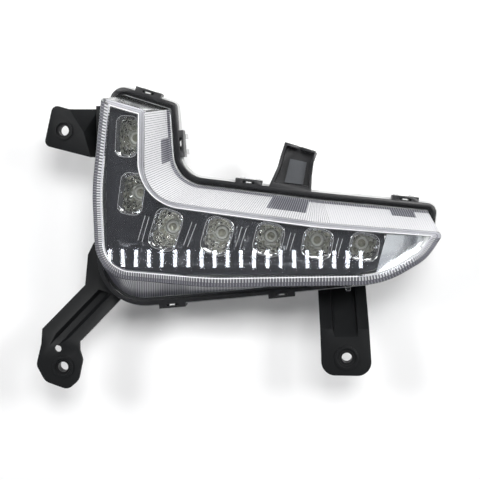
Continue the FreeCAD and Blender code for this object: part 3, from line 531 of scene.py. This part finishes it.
swell = np.abs(np.sin(np.pi * np.arange(len(shares)) / STEPS_PER_FLUTE))
ribbed = [i in RIBBED_SIDES or (i == LEFT_ARM and not on_arc) for i, on_arc, share in shares]
bevel_wave = np.where(ribbed, swell * RIB_DEPTH, 0.0)
lower_edge = [k for k, (i, on_arc, share) in enumerate(shares)
              if i == LOWER or (i == LOWER_LEFT and (share > UPRIGHT_FROM or not on_arc))]
plumb = outline_points(SHOULDER, shares)[lower_edge, 0] - FAN_CENTRE
from_start = np.arange(len(plumb))
ease = np.clip(np.minimum(from_start, from_start[::-1]) / EASE_POINTS, 0, 1)


def ring(corners, y, wave=None):
    """One closed ring of lens points; wave pushes them inwards, in mm. Lower ones stand upright."""
    flat = outline_points(corners, shares)
    low = flat[lower_edge]
    upright = FAN_CENTRE + plumb * (1 + FAN * (y - SHOULDER_Y))
    across = low[:, 0] + (upright - low[:, 0]) * ease
    flat[lower_edge] = np.column_stack([across, np.interp(across, low[:, 0], low[:, 1])])
    if wave is not None:
        along = np.roll(flat, -1, axis=0) - np.roll(flat, 1, axis=0)
        along /= np.linalg.norm(along, axis=1, keepdims=True)
        flat = flat + np.stack([-along[:, 1], along[:, 0]], axis=1) * wave[:, None]
    return np.column_stack([flat[:, 0], np.full(len(flat), y), flat[:, 1]])


def between(first, second, share):
    return first + (second - first) * share


face = inset(SHOULDER, BEVEL_WIDTH, BEVEL_MITRE, NARROW_BEVEL)
hollow = inset(foot, LENS_WALL)
flange = inset(RIM, FLANGE_INSET)
bevel = ring(face, -LENS_DEPTH, bevel_wave), ring(SHOULDER, SHOULDER_Y, bevel_wave)
wall = ring(SHOULDER, SHOULDER_Y, swell * FLUTE_DEPTH), ring(foot, 0.0, swell * FLUTE_DEPTH)
# A strip runs from its own ring to the next; these lie at a share of the way down the bevel or the wall
BEVEL_STRIPS = [("ribs", 0.04), ("line", 0.52), ("band", 0.6), ("plain", 0.96)]
WALL_STRIPS = [("crown", 0.02), ("flutes", 0.26), ("deep", 0.34), ("shallow", 0.6), ("hatch", 0.87),
               ("plain", 0.98)]
strips = [("edge", ring(inset(face, EDGE_LINE, BEVEL_MITRE), -LENS_DEPTH))]
strips += [("plain", ring(face, -LENS_DEPTH))]
strips += [(kind, between(*bevel, share)) for kind, share in BEVEL_STRIPS]
strips += [("plain", ring(SHOULDER, SHOULDER_Y))]
strips += [(kind, between(*wall, share)) for kind, share in WALL_STRIPS]
strips += [("plain", ring(corners, y)) for corners, y in (
    (foot, 0.0), (flange, 0.0), (flange, FLANGE), (hollow, FLANGE), (hollow, 0.0),
    (inset(SHOULDER, LENS_WALL), SHOULDER_Y))]
strips += [("end", ring(inset(face, LENS_WALL / 2, BEVEL_MITRE), LENS_WALL - LENS_DEPTH))]
print("rings of the lens:", len(strips))

# %% [markdown]
# Bridging each ring to the next and capping the two face outlines gives one watertight shell of
# polycarbonate, 2.5 mm thick. Strip by strip and step by step along each flute, faces get painted light
# on the crests and painted shade in the valleys, lines and pockets.

# %% Build the fluted lens
SMOOTH_SIDES = (UPPER_RIGHT, UPPER, ARM, TOP)
# Sides where the painted highlight along the face edge is a dimmer grey
DIM_EDGE_SIDES = (LOWER_RIGHT, RIGHT, LEFT_ARM, LEFT)
WALL_KINDS = [kind for kind, share in WALL_STRIPS if kind != "plain"]
CREST, BROAD_CREST = (2, 3), (2, 3, 4)
SHADE_FROM = 0.3
X, Z = 0, 2
# Painted shade: dark pockets in the wall beside the latches: side, axis, stretch along it in mm, strips
PAINTED_POCKETS = [(UPPER, X, 137.0, 159.5, ("deep", "shallow")), (UPPER_RIGHT, X, 209.0, 224.0, ("shallow",)),
           (ARM, Z, 134.0, 148.5, ("shallow",))]
LENS_CREASE = 24


def in_painted_pocket(kind, k):
    return any(shares[k][0] == side and kind in kinds and low < wall[1][k, axis] < high
               for side, axis, low, high, kinds in PAINTED_POCKETS)


def strip_finish(kind, k):
    """Finish of one face of a strip: painted light on the crest of a rib, painted shade in its valley."""
    side, step = shares[k][0], k % STEPS_PER_FLUTE
    smooth = side in SMOOTH_SIDES and not ribbed[k]
    # The edge of the face: a painted highlight line
    if kind == "edge":
        return PAINTED_HALF_LIGHT if side in DIM_EDGE_SIDES else PAINTED_LIGHT
    if kind == "ribs" and ribbed[k]:
        return PAINTED_LIGHT if step in (CREST if side in (LOWER_LEFT, LOWER) else BROAD_CREST) else PAINTED_SHADE
    if kind == "band" and ribbed[k]:
        return PAINTED_HALF_LIGHT if step == CREST[0] else PAINTED_SHADE
    if kind == "line":
        return PAINTED_SHADE
    if kind in ("ribs", "band") and smooth:
        return PAINTED_HALF_LIGHT
    if in_painted_pocket(kind, k):
        return PAINTED_HALF_LIGHT if step in CREST else PAINTED_SHADE
    if kind == "hatch" and smooth and side != TOP:
        return PAINTED_HALF_LIGHT if step in BROAD_CREST else PAINTED_SHADE
    if kind in WALL_KINDS and smooth and side != TOP:
        return PAINTED_LIGHT if step else PAINTED_HALF_LIGHT if side == UPPER_RIGHT else PAINTED_SHADE
    # The lower flutes: painted light on the crests over painted shade
    if kind in WALL_KINDS and k in lower_edge:
        return PAINTED_HALF_LIGHT if step in CREST else PAINTED_SHADE
    if kind in WALL_KINDS and side == LOWER_LEFT and shares[k][2] > SHADE_FROM:
        return PAINTED_SHADE
    return CLEAR


count = len(shares)
faces = loft_faces(len(strips), count, False)
faces.append(tuple(reversed(range(count))))
faces.append(tuple(range((len(strips) - 1) * count, len(strips) * count)))
finishes = [strip_finish(kind, k) for kind, points in strips[:-1] for k in range(count)]
lens_points = np.concatenate([points for kind, points in strips])
lens_mesh = outward_mesh("fluted_lens", lens_points, faces, LENS_FINISHES)
lens_mesh.polygons.foreach_set("material_index", finishes + [CLEAR, CLEAR])
shaped = bmesh.new()
shaped.from_mesh(lens_mesh)
bmesh.ops.triangulate(shaped, faces=[f for f in shaped.faces if len(f.verts) > 4])
shaped.to_mesh(lens_mesh)
shaped.free()
shade_smooth(lens_mesh, LENS_CREASE)
add_piece("fluted_lens", lens_mesh, "outer_lens")
print("lens faces:", len(lens_mesh.polygons))

# %% [markdown]
# Two small pieces go with the lens. A moulded peg under the lower wall locates it in the rim; it is a
# flat tab with its corners taken off. Inside, a black skirt hangs from the left and lower edge of the
# bezel and closes the view into the housing. Both are outlines pushed along the depth of the lamp.

# %% Lens peg and bezel skirt
def pushed(name, outline, y_front, y_back, slot, edge_mm):
    """Closed piece from an (x, z) outline in mm, pushed from y_front to y_back, with soft edges."""
    n = len(outline)
    points = [(x, y, z) for y in (y_front, y_back) for x, z in outline]
    faces = [tuple(range(n)), tuple(reversed(range(n, 2 * n)))]
    faces += [(k, k + n, (k + 1) % n + n, (k + 1) % n) for k in range(n)]
    piece = add_piece(name, outward_mesh(name, points, faces, [FINISHES[slot]]))
    bevel = piece.modifiers.new("edge radius", "BEVEL")
    bevel.width = edge_mm * MM
    bevel.segments = 2


# The peg stands square to the lower edge of the rim; its outline is (along the edge, away from it)
PEG = [(-1.6, 4.25), (-1.6, -1.4), (-1.0, -2.0), (1.0, -2.0), (1.6, -1.4), (1.6, 4.25)]
PEG_AT = (183.6, 54.05)
PEG_FRONT, PEG_BACK, PEG_EDGE = -12.0, -7.0, 0.3
(x0, z0), (x1, z1) = RIM[LOWER][:2], RIM[LOWER_RIGHT][:2]
along_x, along_z = unit(x1 - x0, z1 - z0)
peg_outline = [(PEG_AT[0] + u * along_x - v * along_z, PEG_AT[1] + u * along_z + v * along_x) for u, v in PEG]
pushed("lens_peg", peg_outline, PEG_FRONT, PEG_BACK, "clear_polycarbonate", PEG_EDGE)

BEZEL = [(34, 62.8, 15), (190, 64.2, 40), (220, 75.5, 40), (231, 86.4, 1.5),
         (165, 93, 200), (54.3, 108.6, 25), (54.3, 162.6, 1.5), (35.2, 167.6, 1.5)]
SKIRT_GAP, SKIRT_WALL, SKIRT_EDGE = 0.1, 1.2, 0.2
SKIRT_FRONT, SKIRT_BACK = -19.0, -2.0
# Down the left side, which is the last one of the bezel, round the corner and a little along the lower side
skirt_path = [(len(BEZEL) - 1, False, t) for t in np.linspace(0.05, 0.95, 8)]
skirt_path += [(0, True, t) for t in np.linspace(0, 1, 10)]
skirt_path += [(0, False, t) for t in np.linspace(0.02, 0.12, 3)]
outside = outline_points(inset(BEZEL, SKIRT_GAP), skirt_path)
inside = outline_points(inset(BEZEL, SKIRT_GAP + SKIRT_WALL), skirt_path)
skirt_outline = [tuple(p) for p in np.concatenate([outside, inside[::-1]])]
pushed("bezel_skirt", skirt_outline, SKIRT_FRONT, SKIRT_BACK, "gloss_black_abs", SKIRT_EDGE)
print("skirt runs over", len(skirt_path), "points")

# %% [markdown]
# Thin bright beads outline the bezel: one round the mouth of each pocket and one along each edge of the
# raised bars between them. On the lamp they are the small polished radii of the moulding that flash in
# the light. Drawn at their real 0.2 mm they would be lost between two pixels, so they are a little wider.
# They take the mirror coat of the cups, a painted highlight brighter than gloss black plastic gives.

# %% Bezel beads
# Centre x and z, width, height and lean in degrees of the window of each LED
LEDS = [(47.5, 148.2, 11.6, 23.0, 3), (50.2, 113.0, 13.2, 23.4, 8), (71.2, 91.0, 15.4, 23.2, 17),
        (103.0, 87.3, 15.6, 21.0, 16), (134.6, 85.3, 15.6, 18.2, 13), (164.3, 82.8, 16.2, 16.6, 11),
        (192.7, 81.0, 15.6, 14.8, 11)]
DIVIDERS = [[(81.2, 79.4), (84.4, 78.2), (91.6, 97.0), (88.2, 98.4)],
            [(113.4, 79.0), (117.0, 78.2), (122.2, 94.0), (118.4, 95.2)],
            [(144.4, 77.4), (147.6, 76.8), (151.6, 90.6), (148.2, 91.4)],
            [(174.0, 75.4), (176.8, 75.0), (180.4, 87.4), (177.2, 88.0)],
            [(53.0, 82.0), (56.4, 80.8), (62.4, 101.4), (59.2, 102.4)]]
BEZEL_FRONT, BAR_CREST, BAY_FLARE = -26.0, -27.6, 0.8
WINDOW_CORNER, WINDOW_STEPS = 0.3, 8
MOUTH_MARGIN, MOUTH_BEAD, BAR_BEAD = 0.3, 0.13, 0.2
BAR_SHIFT, BAR_POINTS = 0.25, 9
HALF_ROUND = [(-1, 0.5), (-1, 0), (-0.7, -0.7), (0, -1), (0.7, -0.7), (1, 0), (1, 0.5)]


def window(led, margin):
    """Corners of the leaning rounded window of one LED, grown by margin."""
    x, z, width, height, lean = led
    c, s = math.cos(math.radians(lean)), math.sin(math.radians(lean))
    corners = []
    for u, v in ((-1, -1), (1, -1), (1, 1), (-1, 1)):
        across, up = u * width / 2, v * height / 2
        corners.append((x + c * across + s * up, z - s * across + c * up, min(width, height) * WINDOW_CORNER))
    return inset(corners, -margin)


def bead(path, y, radius, loop):
    """Points and faces of a half-round bead along an (x, z) path that lies at depth y."""
    path = np.asarray(path, float)
    if loop:
        along = np.roll(path, -1, axis=0) - np.roll(path, 1, axis=0)
    else:
        along = np.gradient(path, axis=0)
    along /= np.linalg.norm(along, axis=1, keepdims=True)
    points = [(x - t[1] * u * radius, y + v * radius, z + t[0] * u * radius)
              for (x, z), t in zip(path, along) for u, v in HALF_ROUND]
    n, total = len(HALF_ROUND), len(path)
    faces = loft_faces(total, n, loop)
    if not loop:
        faces += [tuple(range(n)), tuple(range((total - 1) * n, total * n))]
    return points, faces


round_window = [(i, on_arc, k / WINDOW_STEPS)
                for i in range(4) for on_arc in (True, False) for k in range(WINDOW_STEPS)]
mouths = [outline_points(window(led, BAY_FLARE + MOUTH_MARGIN), round_window) for led in LEDS]
beads = [bead(mouth, BEZEL_FRONT, MOUTH_BEAD, True) for mouth in mouths]
for bar in DIVIDERS:
    for start, end in ((bar[0], bar[3]), (bar[1], bar[2])):
        shift = np.subtract(np.mean(bar, axis=0), np.mean([start, end], axis=0)) * BAR_SHIFT
        line = np.linspace(np.add(start, shift), np.add(end, shift), BAR_POINTS)[1:-1]
        beads.append(bead(line, BAR_CREST, BAR_BEAD, False))
bead_points, bead_faces = [], []
for points, faces in beads:
    bead_faces += [tuple(i + len(bead_points) for i in corners) for corners in faces]
    bead_points += points
# Mirror coat on black radii: a painted highlight
add_piece("bezel_beads", outward_mesh("bezel_beads", bead_points, bead_faces, [mirror_coat]))
print("beads:", len(beads), "faces:", len(bead_faces))

# %% [markdown]
# Behind each window sits a mirror cup: seven rings of eighteen facets that shrink from the window to the
# LED. Each facet bulges a little and leans its own way by chance, so it mirrors its own small picture of
# the room and the cup sparkles. The grid goes down the facets and back along the outside of the cup, so
# it is one closed skin.

# %% Pillowed mirror cups
CUP_FRONT, CUP_BACK, CUP_WALL, CUP_RIM, THROAT = -19.0, 10.0, 1.2, 1.2, 4.0
SECTORS, CUP_RINGS, PATCH = 18, 7, 5
PILLOW, PILLOW_RANGE, TILT = 0.08, (0.4, 1.6), 1.0
# A ring is an ellipse at the throat, and squarer by this power at the window
SQUARER = 2.4
FORWARD = 0.35
CUP_CREASE, SKIN_MERGE_MM = 22, 0.001
chance = np.random.default_rng(7)


def cup_ring(led, grow, share, y):
    """Corner points of one ring of facets, from the window (share 0) to the throat (share 1)."""
    x, z, width, height, lean = led
    c, s = math.cos(math.radians(lean)), math.sin(math.radians(lean))
    power = 2 + SQUARER * (1 - share)
    angle = 2 * np.pi * np.arange(SECTORS) / SECTORS
    ca, sa = np.cos(angle), np.sin(angle)
    bulge = (np.abs(ca) ** power + np.abs(sa) ** power) ** (-1 / power)
    u = (width / 2 + (THROAT - width / 2) * share + grow) * ca * bulge
    v = (height / 2 + (THROAT - height / 2) * share + grow) * sa * bulge
    return np.column_stack([x + c * u + s * v, np.full(SECTORS, y), z - s * u + c * v])


def finer(points):
    """Corner points with PATCH - 1 points added on each side of the polygon."""
    steps = np.arange(PATCH)[None, :, None] / PATCH
    return (points[:, None] + (np.roll(points, -1, axis=0) - points)[:, None] * steps).reshape(-1, 3)


def by_chance(low, high):
    """A random value for each facet of a ring, repeated for its points."""
    return np.repeat(chance.uniform(low, high, SECTORS), PATCH)


def cup_rows(led):
    """Rows of points down the facets of a cup, then up its outside to the rim."""
    depth = CUP_BACK - CUP_FRONT
    steps = np.arange(CUP_RINGS + 1) / CUP_RINGS
    corners = [cup_ring(led, 0, t ** 2, CUP_FRONT + depth * t) for t in steps]
    along = np.arange(SECTORS * PATCH) % PATCH / PATCH
    rows = []
    for row, (upper, lower) in enumerate(zip(corners, corners[1:])):
        size = PILLOW * by_chance(*PILLOW_RANGE)
        lean_u = by_chance(-TILT, TILT)
        lean_v = by_chance(-TILT, TILT)
        inwards = np.array([led[0], 0, led[1]]) - finer((upper + lower) / 2) * [1, 0, 1]
        inwards[:, 1] = -FORWARD * np.linalg.norm(inwards, axis=1)
        inwards /= np.linalg.norm(inwards, axis=1, keepdims=True)
        for t in np.arange(PATCH) / PATCH:
            # The factor 16 makes the bulge 1 in the middle of a facet; the last ring doesn't lean
            dome = 16 * t * (1 - t) * along * (1 - along) * size
            if row < CUP_RINGS - 1:
                dome += TILT / 2 + lean_u * (along - 0.5) + lean_v * (t - 0.5)
            rows.append(finer(upper + (lower - upper) * t) + inwards * dome[:, None])
    rows.append(finer(corners[-1]))
    below = depth - CUP_RIM
    outer = [cup_ring(led, CUP_WALL, t ** 2, CUP_FRONT + CUP_RIM + below * t) for t in steps[::-1]]
    outer += [cup_ring(led, CUP_WALL + CUP_RIM, 0, y) for y in (CUP_FRONT + CUP_RIM, CUP_FRONT)]
    return rows + [finer(row) for row in outer]


def skin(name, rows, material, node, crease):
    """Piece from rows of points; rows close round, and the last row meets the first one."""
    faces = loft_faces(len(rows), len(rows[0]), True)
    mesh = outward_mesh(name, np.concatenate(rows), faces, [material], SKIN_MERGE_MM)
    shade_smooth(mesh, crease)
    return add_piece(name, mesh, node)


for number, led in enumerate(LEDS, 1):
    cup = skin(f"mirror_cup_{number}", cup_rows(led), mirror_coat, f"reflector_{number}", CUP_CREASE)
print("faces in a cup:", len(cup.data.polygons))

# %% [markdown]
# The LED at the bottom of each cup is a small ceramic ring round a dome of phosphor gel. Both are
# turned shapes, so a profile of radius and depth swept round the LED's centre makes them.

# %% LEDs
TURN_POINTS, TURN_CREASE = 40, 35
CARRIER = [(2.5, 10.0), (3.9, 10.0), (3.9, 8.9), (3.75, 8.7), (2.75, 8.7), (2.5, 9.0)]
DOME = [(2.45, 9.9), (2.45, 8.7), (2.2, 8.2), (1.7, 7.8), (1.0, 7.5), (0.0005, 7.4), (0.0004, 9.9)]


def turned(name, centre, profile, material, node):
    """Closed turned piece from (radius, y) points, swept round a centre that starts with x and z."""
    angle = 2 * np.pi * np.arange(TURN_POINTS) / TURN_POINTS
    rows = [np.column_stack([centre[0] + r * np.cos(angle), np.full(TURN_POINTS, y),
                             centre[1] + r * np.sin(angle)]) for r, y in profile]
    return skin(name, rows, material, node, TURN_CREASE)


for number, led in enumerate(LEDS, 1):
    turned(f"led_carrier_{number}", led, CARRIER, grey_ceramic, f"led_{number}")
    dome = turned(f"led_dome_{number}", led, DOME, led_phosphor, f"led_{number}")
print("faces in an LED dome:", len(dome.data.polygons))

# %% [markdown]
# The pointed end holds a silver-coated wing. On the lamp it is a dished sheet that runs right up to the
# ribs, so it is drawn as a dish: rings that shrink from its outline to its middle, once for the front
# and once for the back, on its post.

# %% Silver wing
WING_LINE, WING_POST = [(198.9, 60.0), (208.5, 96.0)], (209.0, 79.5)
WING_INSET, WING_STEP, WING_SHEET = 5.4, 4, 1.2
# The sheet falls back from its heel to the tip of the lamp, and is dished towards its middle
WING_HEEL, WING_FRONT, WING_SLOPE, WING_DISH = 199, -21.5, 0.17, 1.2
WING_SIZES = (1.0, 0.92, 0.8, 0.65, 0.5, 0.35, 0.2, 0.05, 0.001)
WING_CREASE = 60
WING_MIDDLE = np.array([216.0, 79.0])
POST_PROFILE = [(0.001, 9.9), (2.5, 9.9), (2.5, -15.0), (0.001, -15.0)]
end_outline = outline_points(inset(SHOULDER, WING_INSET, BEVEL_MITRE), shares)
(ax, az), (bx, bz) = WING_LINE
beyond = [p for p in end_outline if (p[0] - ax) * (bz - az) > (p[1] - az) * (bx - ax)]
wing_edge = [beyond[0] + (beyond[-1] - beyond[0]) * t for t in (0.75, 0.5, 0.25)]
wing_loop = np.array(beyond[::WING_STEP] + [beyond[-1]] + wing_edge)


def wing_row(share, back):
    """One ring of the dish, shrunk to a share of its outline and set back by the sheet's thickness."""
    flat = WING_MIDDLE + (wing_loop - WING_MIDDLE) * share
    depth = WING_FRONT + WING_SLOPE * (flat[:, 0] - WING_HEEL) + WING_DISH * (1 - share ** 2) + back
    return np.column_stack([flat[:, 0], depth, flat[:, 1]])


wing_rows = [wing_row(share, 0.0) for share in WING_SIZES]
wing_rows += [wing_row(share, WING_SHEET) for share in WING_SIZES[::-1]]
wing = skin("silver_wing", wing_rows, silver_coat, "end_reflector", WING_CREASE)
turned("wing_post", WING_POST, POST_PROFILE, silver_coat, "end_reflector")
print("faces in the wing:", len(wing.data.polygons))

# %% [markdown]
# The lamp lies on a white table. The table is one large plane behind it, white to the camera and to
# reflections, that still takes the lamp's soft shadow. Seen from behind it is clear, so the back of
# the lamp can be looked at.

# %% White table
TABLE_HALF, TABLE_GAP = 2.0, 1 * MM
TABLE_GLOW = 0.06
MOTTLE_MM = 60


def table_finish():
    """Pressed laminate: matt white with a slow mottle, and a faint glow where it is seen."""
    material, tree = new_material("white_laminate")
    place = add(tree, "ShaderNodeTexCoord").outputs["Object"]
    mottle = add(tree, "ShaderNodeTexNoise", {"Vector": place, "Scale": 1 / (MOTTLE_MM * MM), "Detail": 2.0})
    tone = add(tree, "ShaderNodeMapRange", {"Value": mottle.outputs["Fac"], "To Min": 0.9, "To Max": 0.92})
    paint = add(tree, "ShaderNodeBsdfDiffuse", {"Color": tone.outputs[0]})
    rays = add(tree, "ShaderNodeLightPath")
    seen = add(tree, "ShaderNodeMath", {0: rays.outputs["Is Camera Ray"], 1: rays.outputs["Is Glossy Ray"]},
               operation="MAXIMUM")
    seen = add(tree, "ShaderNodeMath", {0: seen.outputs[0], 1: rays.outputs["Is Transmission Ray"]},
               operation="MAXIMUM")
    lift = add(tree, "ShaderNodeMath", {0: seen.outputs[0], 1: TABLE_GLOW}, operation="MULTIPLY")
    glow = add(tree, "ShaderNodeEmission", {"Color": linear("#fffefd"), "Strength": lift.outputs[0]})
    lit = add(tree, "ShaderNodeAddShader", {0: paint.outputs[0], 1: glow.outputs[0]})
    clear = add(tree, "ShaderNodeBsdfTransparent")
    behind = add(tree, "ShaderNodeNewGeometry").outputs["Backfacing"]
    mixed = add(tree, "ShaderNodeMixShader", {0: behind, 1: lit.outputs[0], 2: clear.outputs[0]})
    finish_material(tree, mixed)
    return material


table_y = cad_box[1][1] + TABLE_GAP
table_corners = [(x * TABLE_HALF, table_y, z * TABLE_HALF) for x, z in ((-1, -1), (1, -1), (1, 1), (-1, 1))]
table_mesh = bpy.data.meshes.new("table")
table_mesh.from_pydata(table_corners, [], [(0, 1, 2, 3)])
table = bpy.data.objects.new("table", table_mesh)
bpy.context.collection.objects.link(table)
table.data.materials.append(table_finish())
print("table normal:", tuple(round(v) for v in table_mesh.polygons[0].normal))

# %% [markdown]
# The light is that of a light tent: white walls all round, a dark front cloth, an opening in it for the
# camera with the grey room behind, and a bar of small LEDs below the camera whose row of reflections
# shows in the flat lens face. The world is the tent, with its tone set by direction.

# %% Light tent
# How far a direction points to the front, as its Y: where the opening ends, and where the walls begin
OPENING_ENDS, WALLS_BEGIN = (-0.978, -0.97), (-0.955, -0.88)
ROOM_GREY, CLOTH_BROWN, WALL_WHITE = linear("#838488"), linear("#3a342e"), linear("#fbfcff")
TENT_SEEN, TENT_LIGHT = 0.9, 0.13

world = bpy.data.worlds.new("light_tent")
bpy.context.scene.world = world
world.use_nodes = True
tent = world.node_tree
tent.nodes.clear()
way = add(tent, "ShaderNodeSeparateXYZ", {0: add(tent, "ShaderNodeTexCoord").outputs["Generated"]})
tone = ROOM_GREY
for (low, high), beyond_tone in ((OPENING_ENDS, CLOTH_BROWN), (WALLS_BEGIN, WALL_WHITE)):
    edge = add(tent, "ShaderNodeMapRange", {"Value": way.outputs["Y"], "From Min": low, "From Max": high},
               interpolation_type="SMOOTHSTEP")
    tone = add(tent, "ShaderNodeMix", {MIX_FACTOR: edge.outputs[0], MIX_FIRST: tone, MIX_SECOND: beyond_tone},
               data_type="RGBA").outputs[MIX_RESULT]
# Mirrors and clear plastic see the tent bright; as a light on matt surfaces it is weaker. The camera
# itself sees plain white behind the lamp.
rays = add(tent, "ShaderNodeLightPath")
strength = add(tent, "ShaderNodeMapRange", {"Value": rays.outputs["Is Diffuse Ray"], "To Min": TENT_SEEN,
                                            "To Max": TENT_LIGHT})
seen_tone = add(tent, "ShaderNodeMix", {MIX_FACTOR: rays.outputs["Is Camera Ray"], MIX_FIRST: tone,
                                        MIX_SECOND: linear("#ffffff")}, data_type="RGBA")
backdrop = add(tent, "ShaderNodeBackground", {"Color": seen_tone.outputs[MIX_RESULT],
                                              "Strength": strength.outputs[0]})
add(tent, "ShaderNodeOutputWorld", {"Surface": backdrop.outputs[0]})
print("nodes in the tent:", len(tent.nodes))

# %% [markdown]
# Three soft lamps, spread from left to right, give soft shadows: a stronger one near the middle and a
# weaker one on each side.

# %% Soft lamps
# Place and size in metres, and power in watts
LAMPS = {"tent_lamp": ((0.28, -1.08, 0.47), (0.36, 0.3), 8.2),
         "left_strip": ((-0.5, -0.95, 0.42), (0.3, 0.3), 5.4),
         "right_strip": ((0.85, -0.95, 0.42), (0.3, 0.3), 6.0)}
LAMP_AIM = (0.12, 0.0, 0.09)


def turn_to(way):
    """Rotation of a lamp or camera that looks that way, with its top up."""
    return Vector(way).to_track_quat("-Z", "Y").to_euler()


def soft_lamp(name, place, size, power):
    data = bpy.data.lights.new(name, "AREA")
    data.shape = "RECTANGLE"
    data.size, data.size_y = size
    data.energy = power
    lamp = bpy.data.objects.new(name, data)
    lamp.location = Vector(place)
    lamp.rotation_euler = turn_to(Vector(LAMP_AIM) - Vector(place))
    bpy.context.collection.objects.link(lamp)


for name, (place, size, power) in LAMPS.items():
    soft_lamp(name, place, size, power)
print("soft lamps:", len(LAMPS))

# %% [markdown]
# The row of bright dashes in the lens face is a reflection, so it is made by what it mirrors: the bar of
# small LEDs, as columns of small glowing squares. The bar itself is hidden from the camera.

# %% LED bar
def bar_glow():
    """Bare LED chips, switched on."""
    material, tree = new_material("bar_glow")
    glow = add(tree, "ShaderNodeEmission", {"Color": linear("#f2f6ff"), "Strength": 26.0})
    finish_material(tree, glow)
    return material


BAR_START, BAR_PITCH, BAR_COUNT = -87.0, 16.1, 20
BAR_Y, BAR_Z = -684.0, 20.0
# Height and half height of the four squares of a column, and the half width of all
BAR_ROWS = ((-7.9, 2.6), (-2.5, 2.2), (2.6, 2.2), (7.9, 2.6))
SQUARE_HALF = 1.9
squares = []
for k in range(BAR_COUNT):
    x = BAR_START + k * BAR_PITCH
    for rise, half in BAR_ROWS:
        squares.append([(x + sx * SQUARE_HALF, BAR_Y, BAR_Z + rise + sz * half)
                        for sx, sz in ((-1, -1), (-1, 1), (1, 1), (1, -1))])
bar_mesh = bpy.data.meshes.new("led_bar")
bar_mesh.from_pydata((np.array(squares).reshape(-1, 3) * MM).tolist(), [],
                     [tuple(range(4 * k, 4 * k + 4)) for k in range(len(squares))])
bar_mesh.materials.append(bar_glow())
bar = bpy.data.objects.new("led_bar", bar_mesh)
bpy.context.collection.objects.link(bar)
bar.visible_camera = False
print("squares in the bar:", len(squares))

# %% [markdown]
# The camera stands where the photo's did: about 0.7 m away, 4 degrees to the right and 4 degrees above
# the axis of the bolt holes, which is where the depth of those holes shows.

# %% Camera
SENSOR_MM = 36.0
FOCAL_PIXELS, PHOTO_PIXELS = 1077, 480
CAMERA_PLACE_MM = (162.15, -683.67, 127.66)
CAMERA_WAY = (-0.06839, 0.99555, -0.06488)
camera_data = bpy.data.cameras.new("camera")
camera_data.sensor_width = SENSOR_MM
camera_data.lens = FOCAL_PIXELS / PHOTO_PIXELS * SENSOR_MM
camera = bpy.data.objects.new("camera", camera_data)
camera.location = Vector(CAMERA_PLACE_MM) * MM
camera.rotation_euler = turn_to(CAMERA_WAY)
bpy.context.collection.objects.link(camera)
bpy.context.scene.camera = camera
bpy.context.scene.view_settings.view_transform = "Standard"
print("focal length in mm:", round(camera_data.lens, 1))
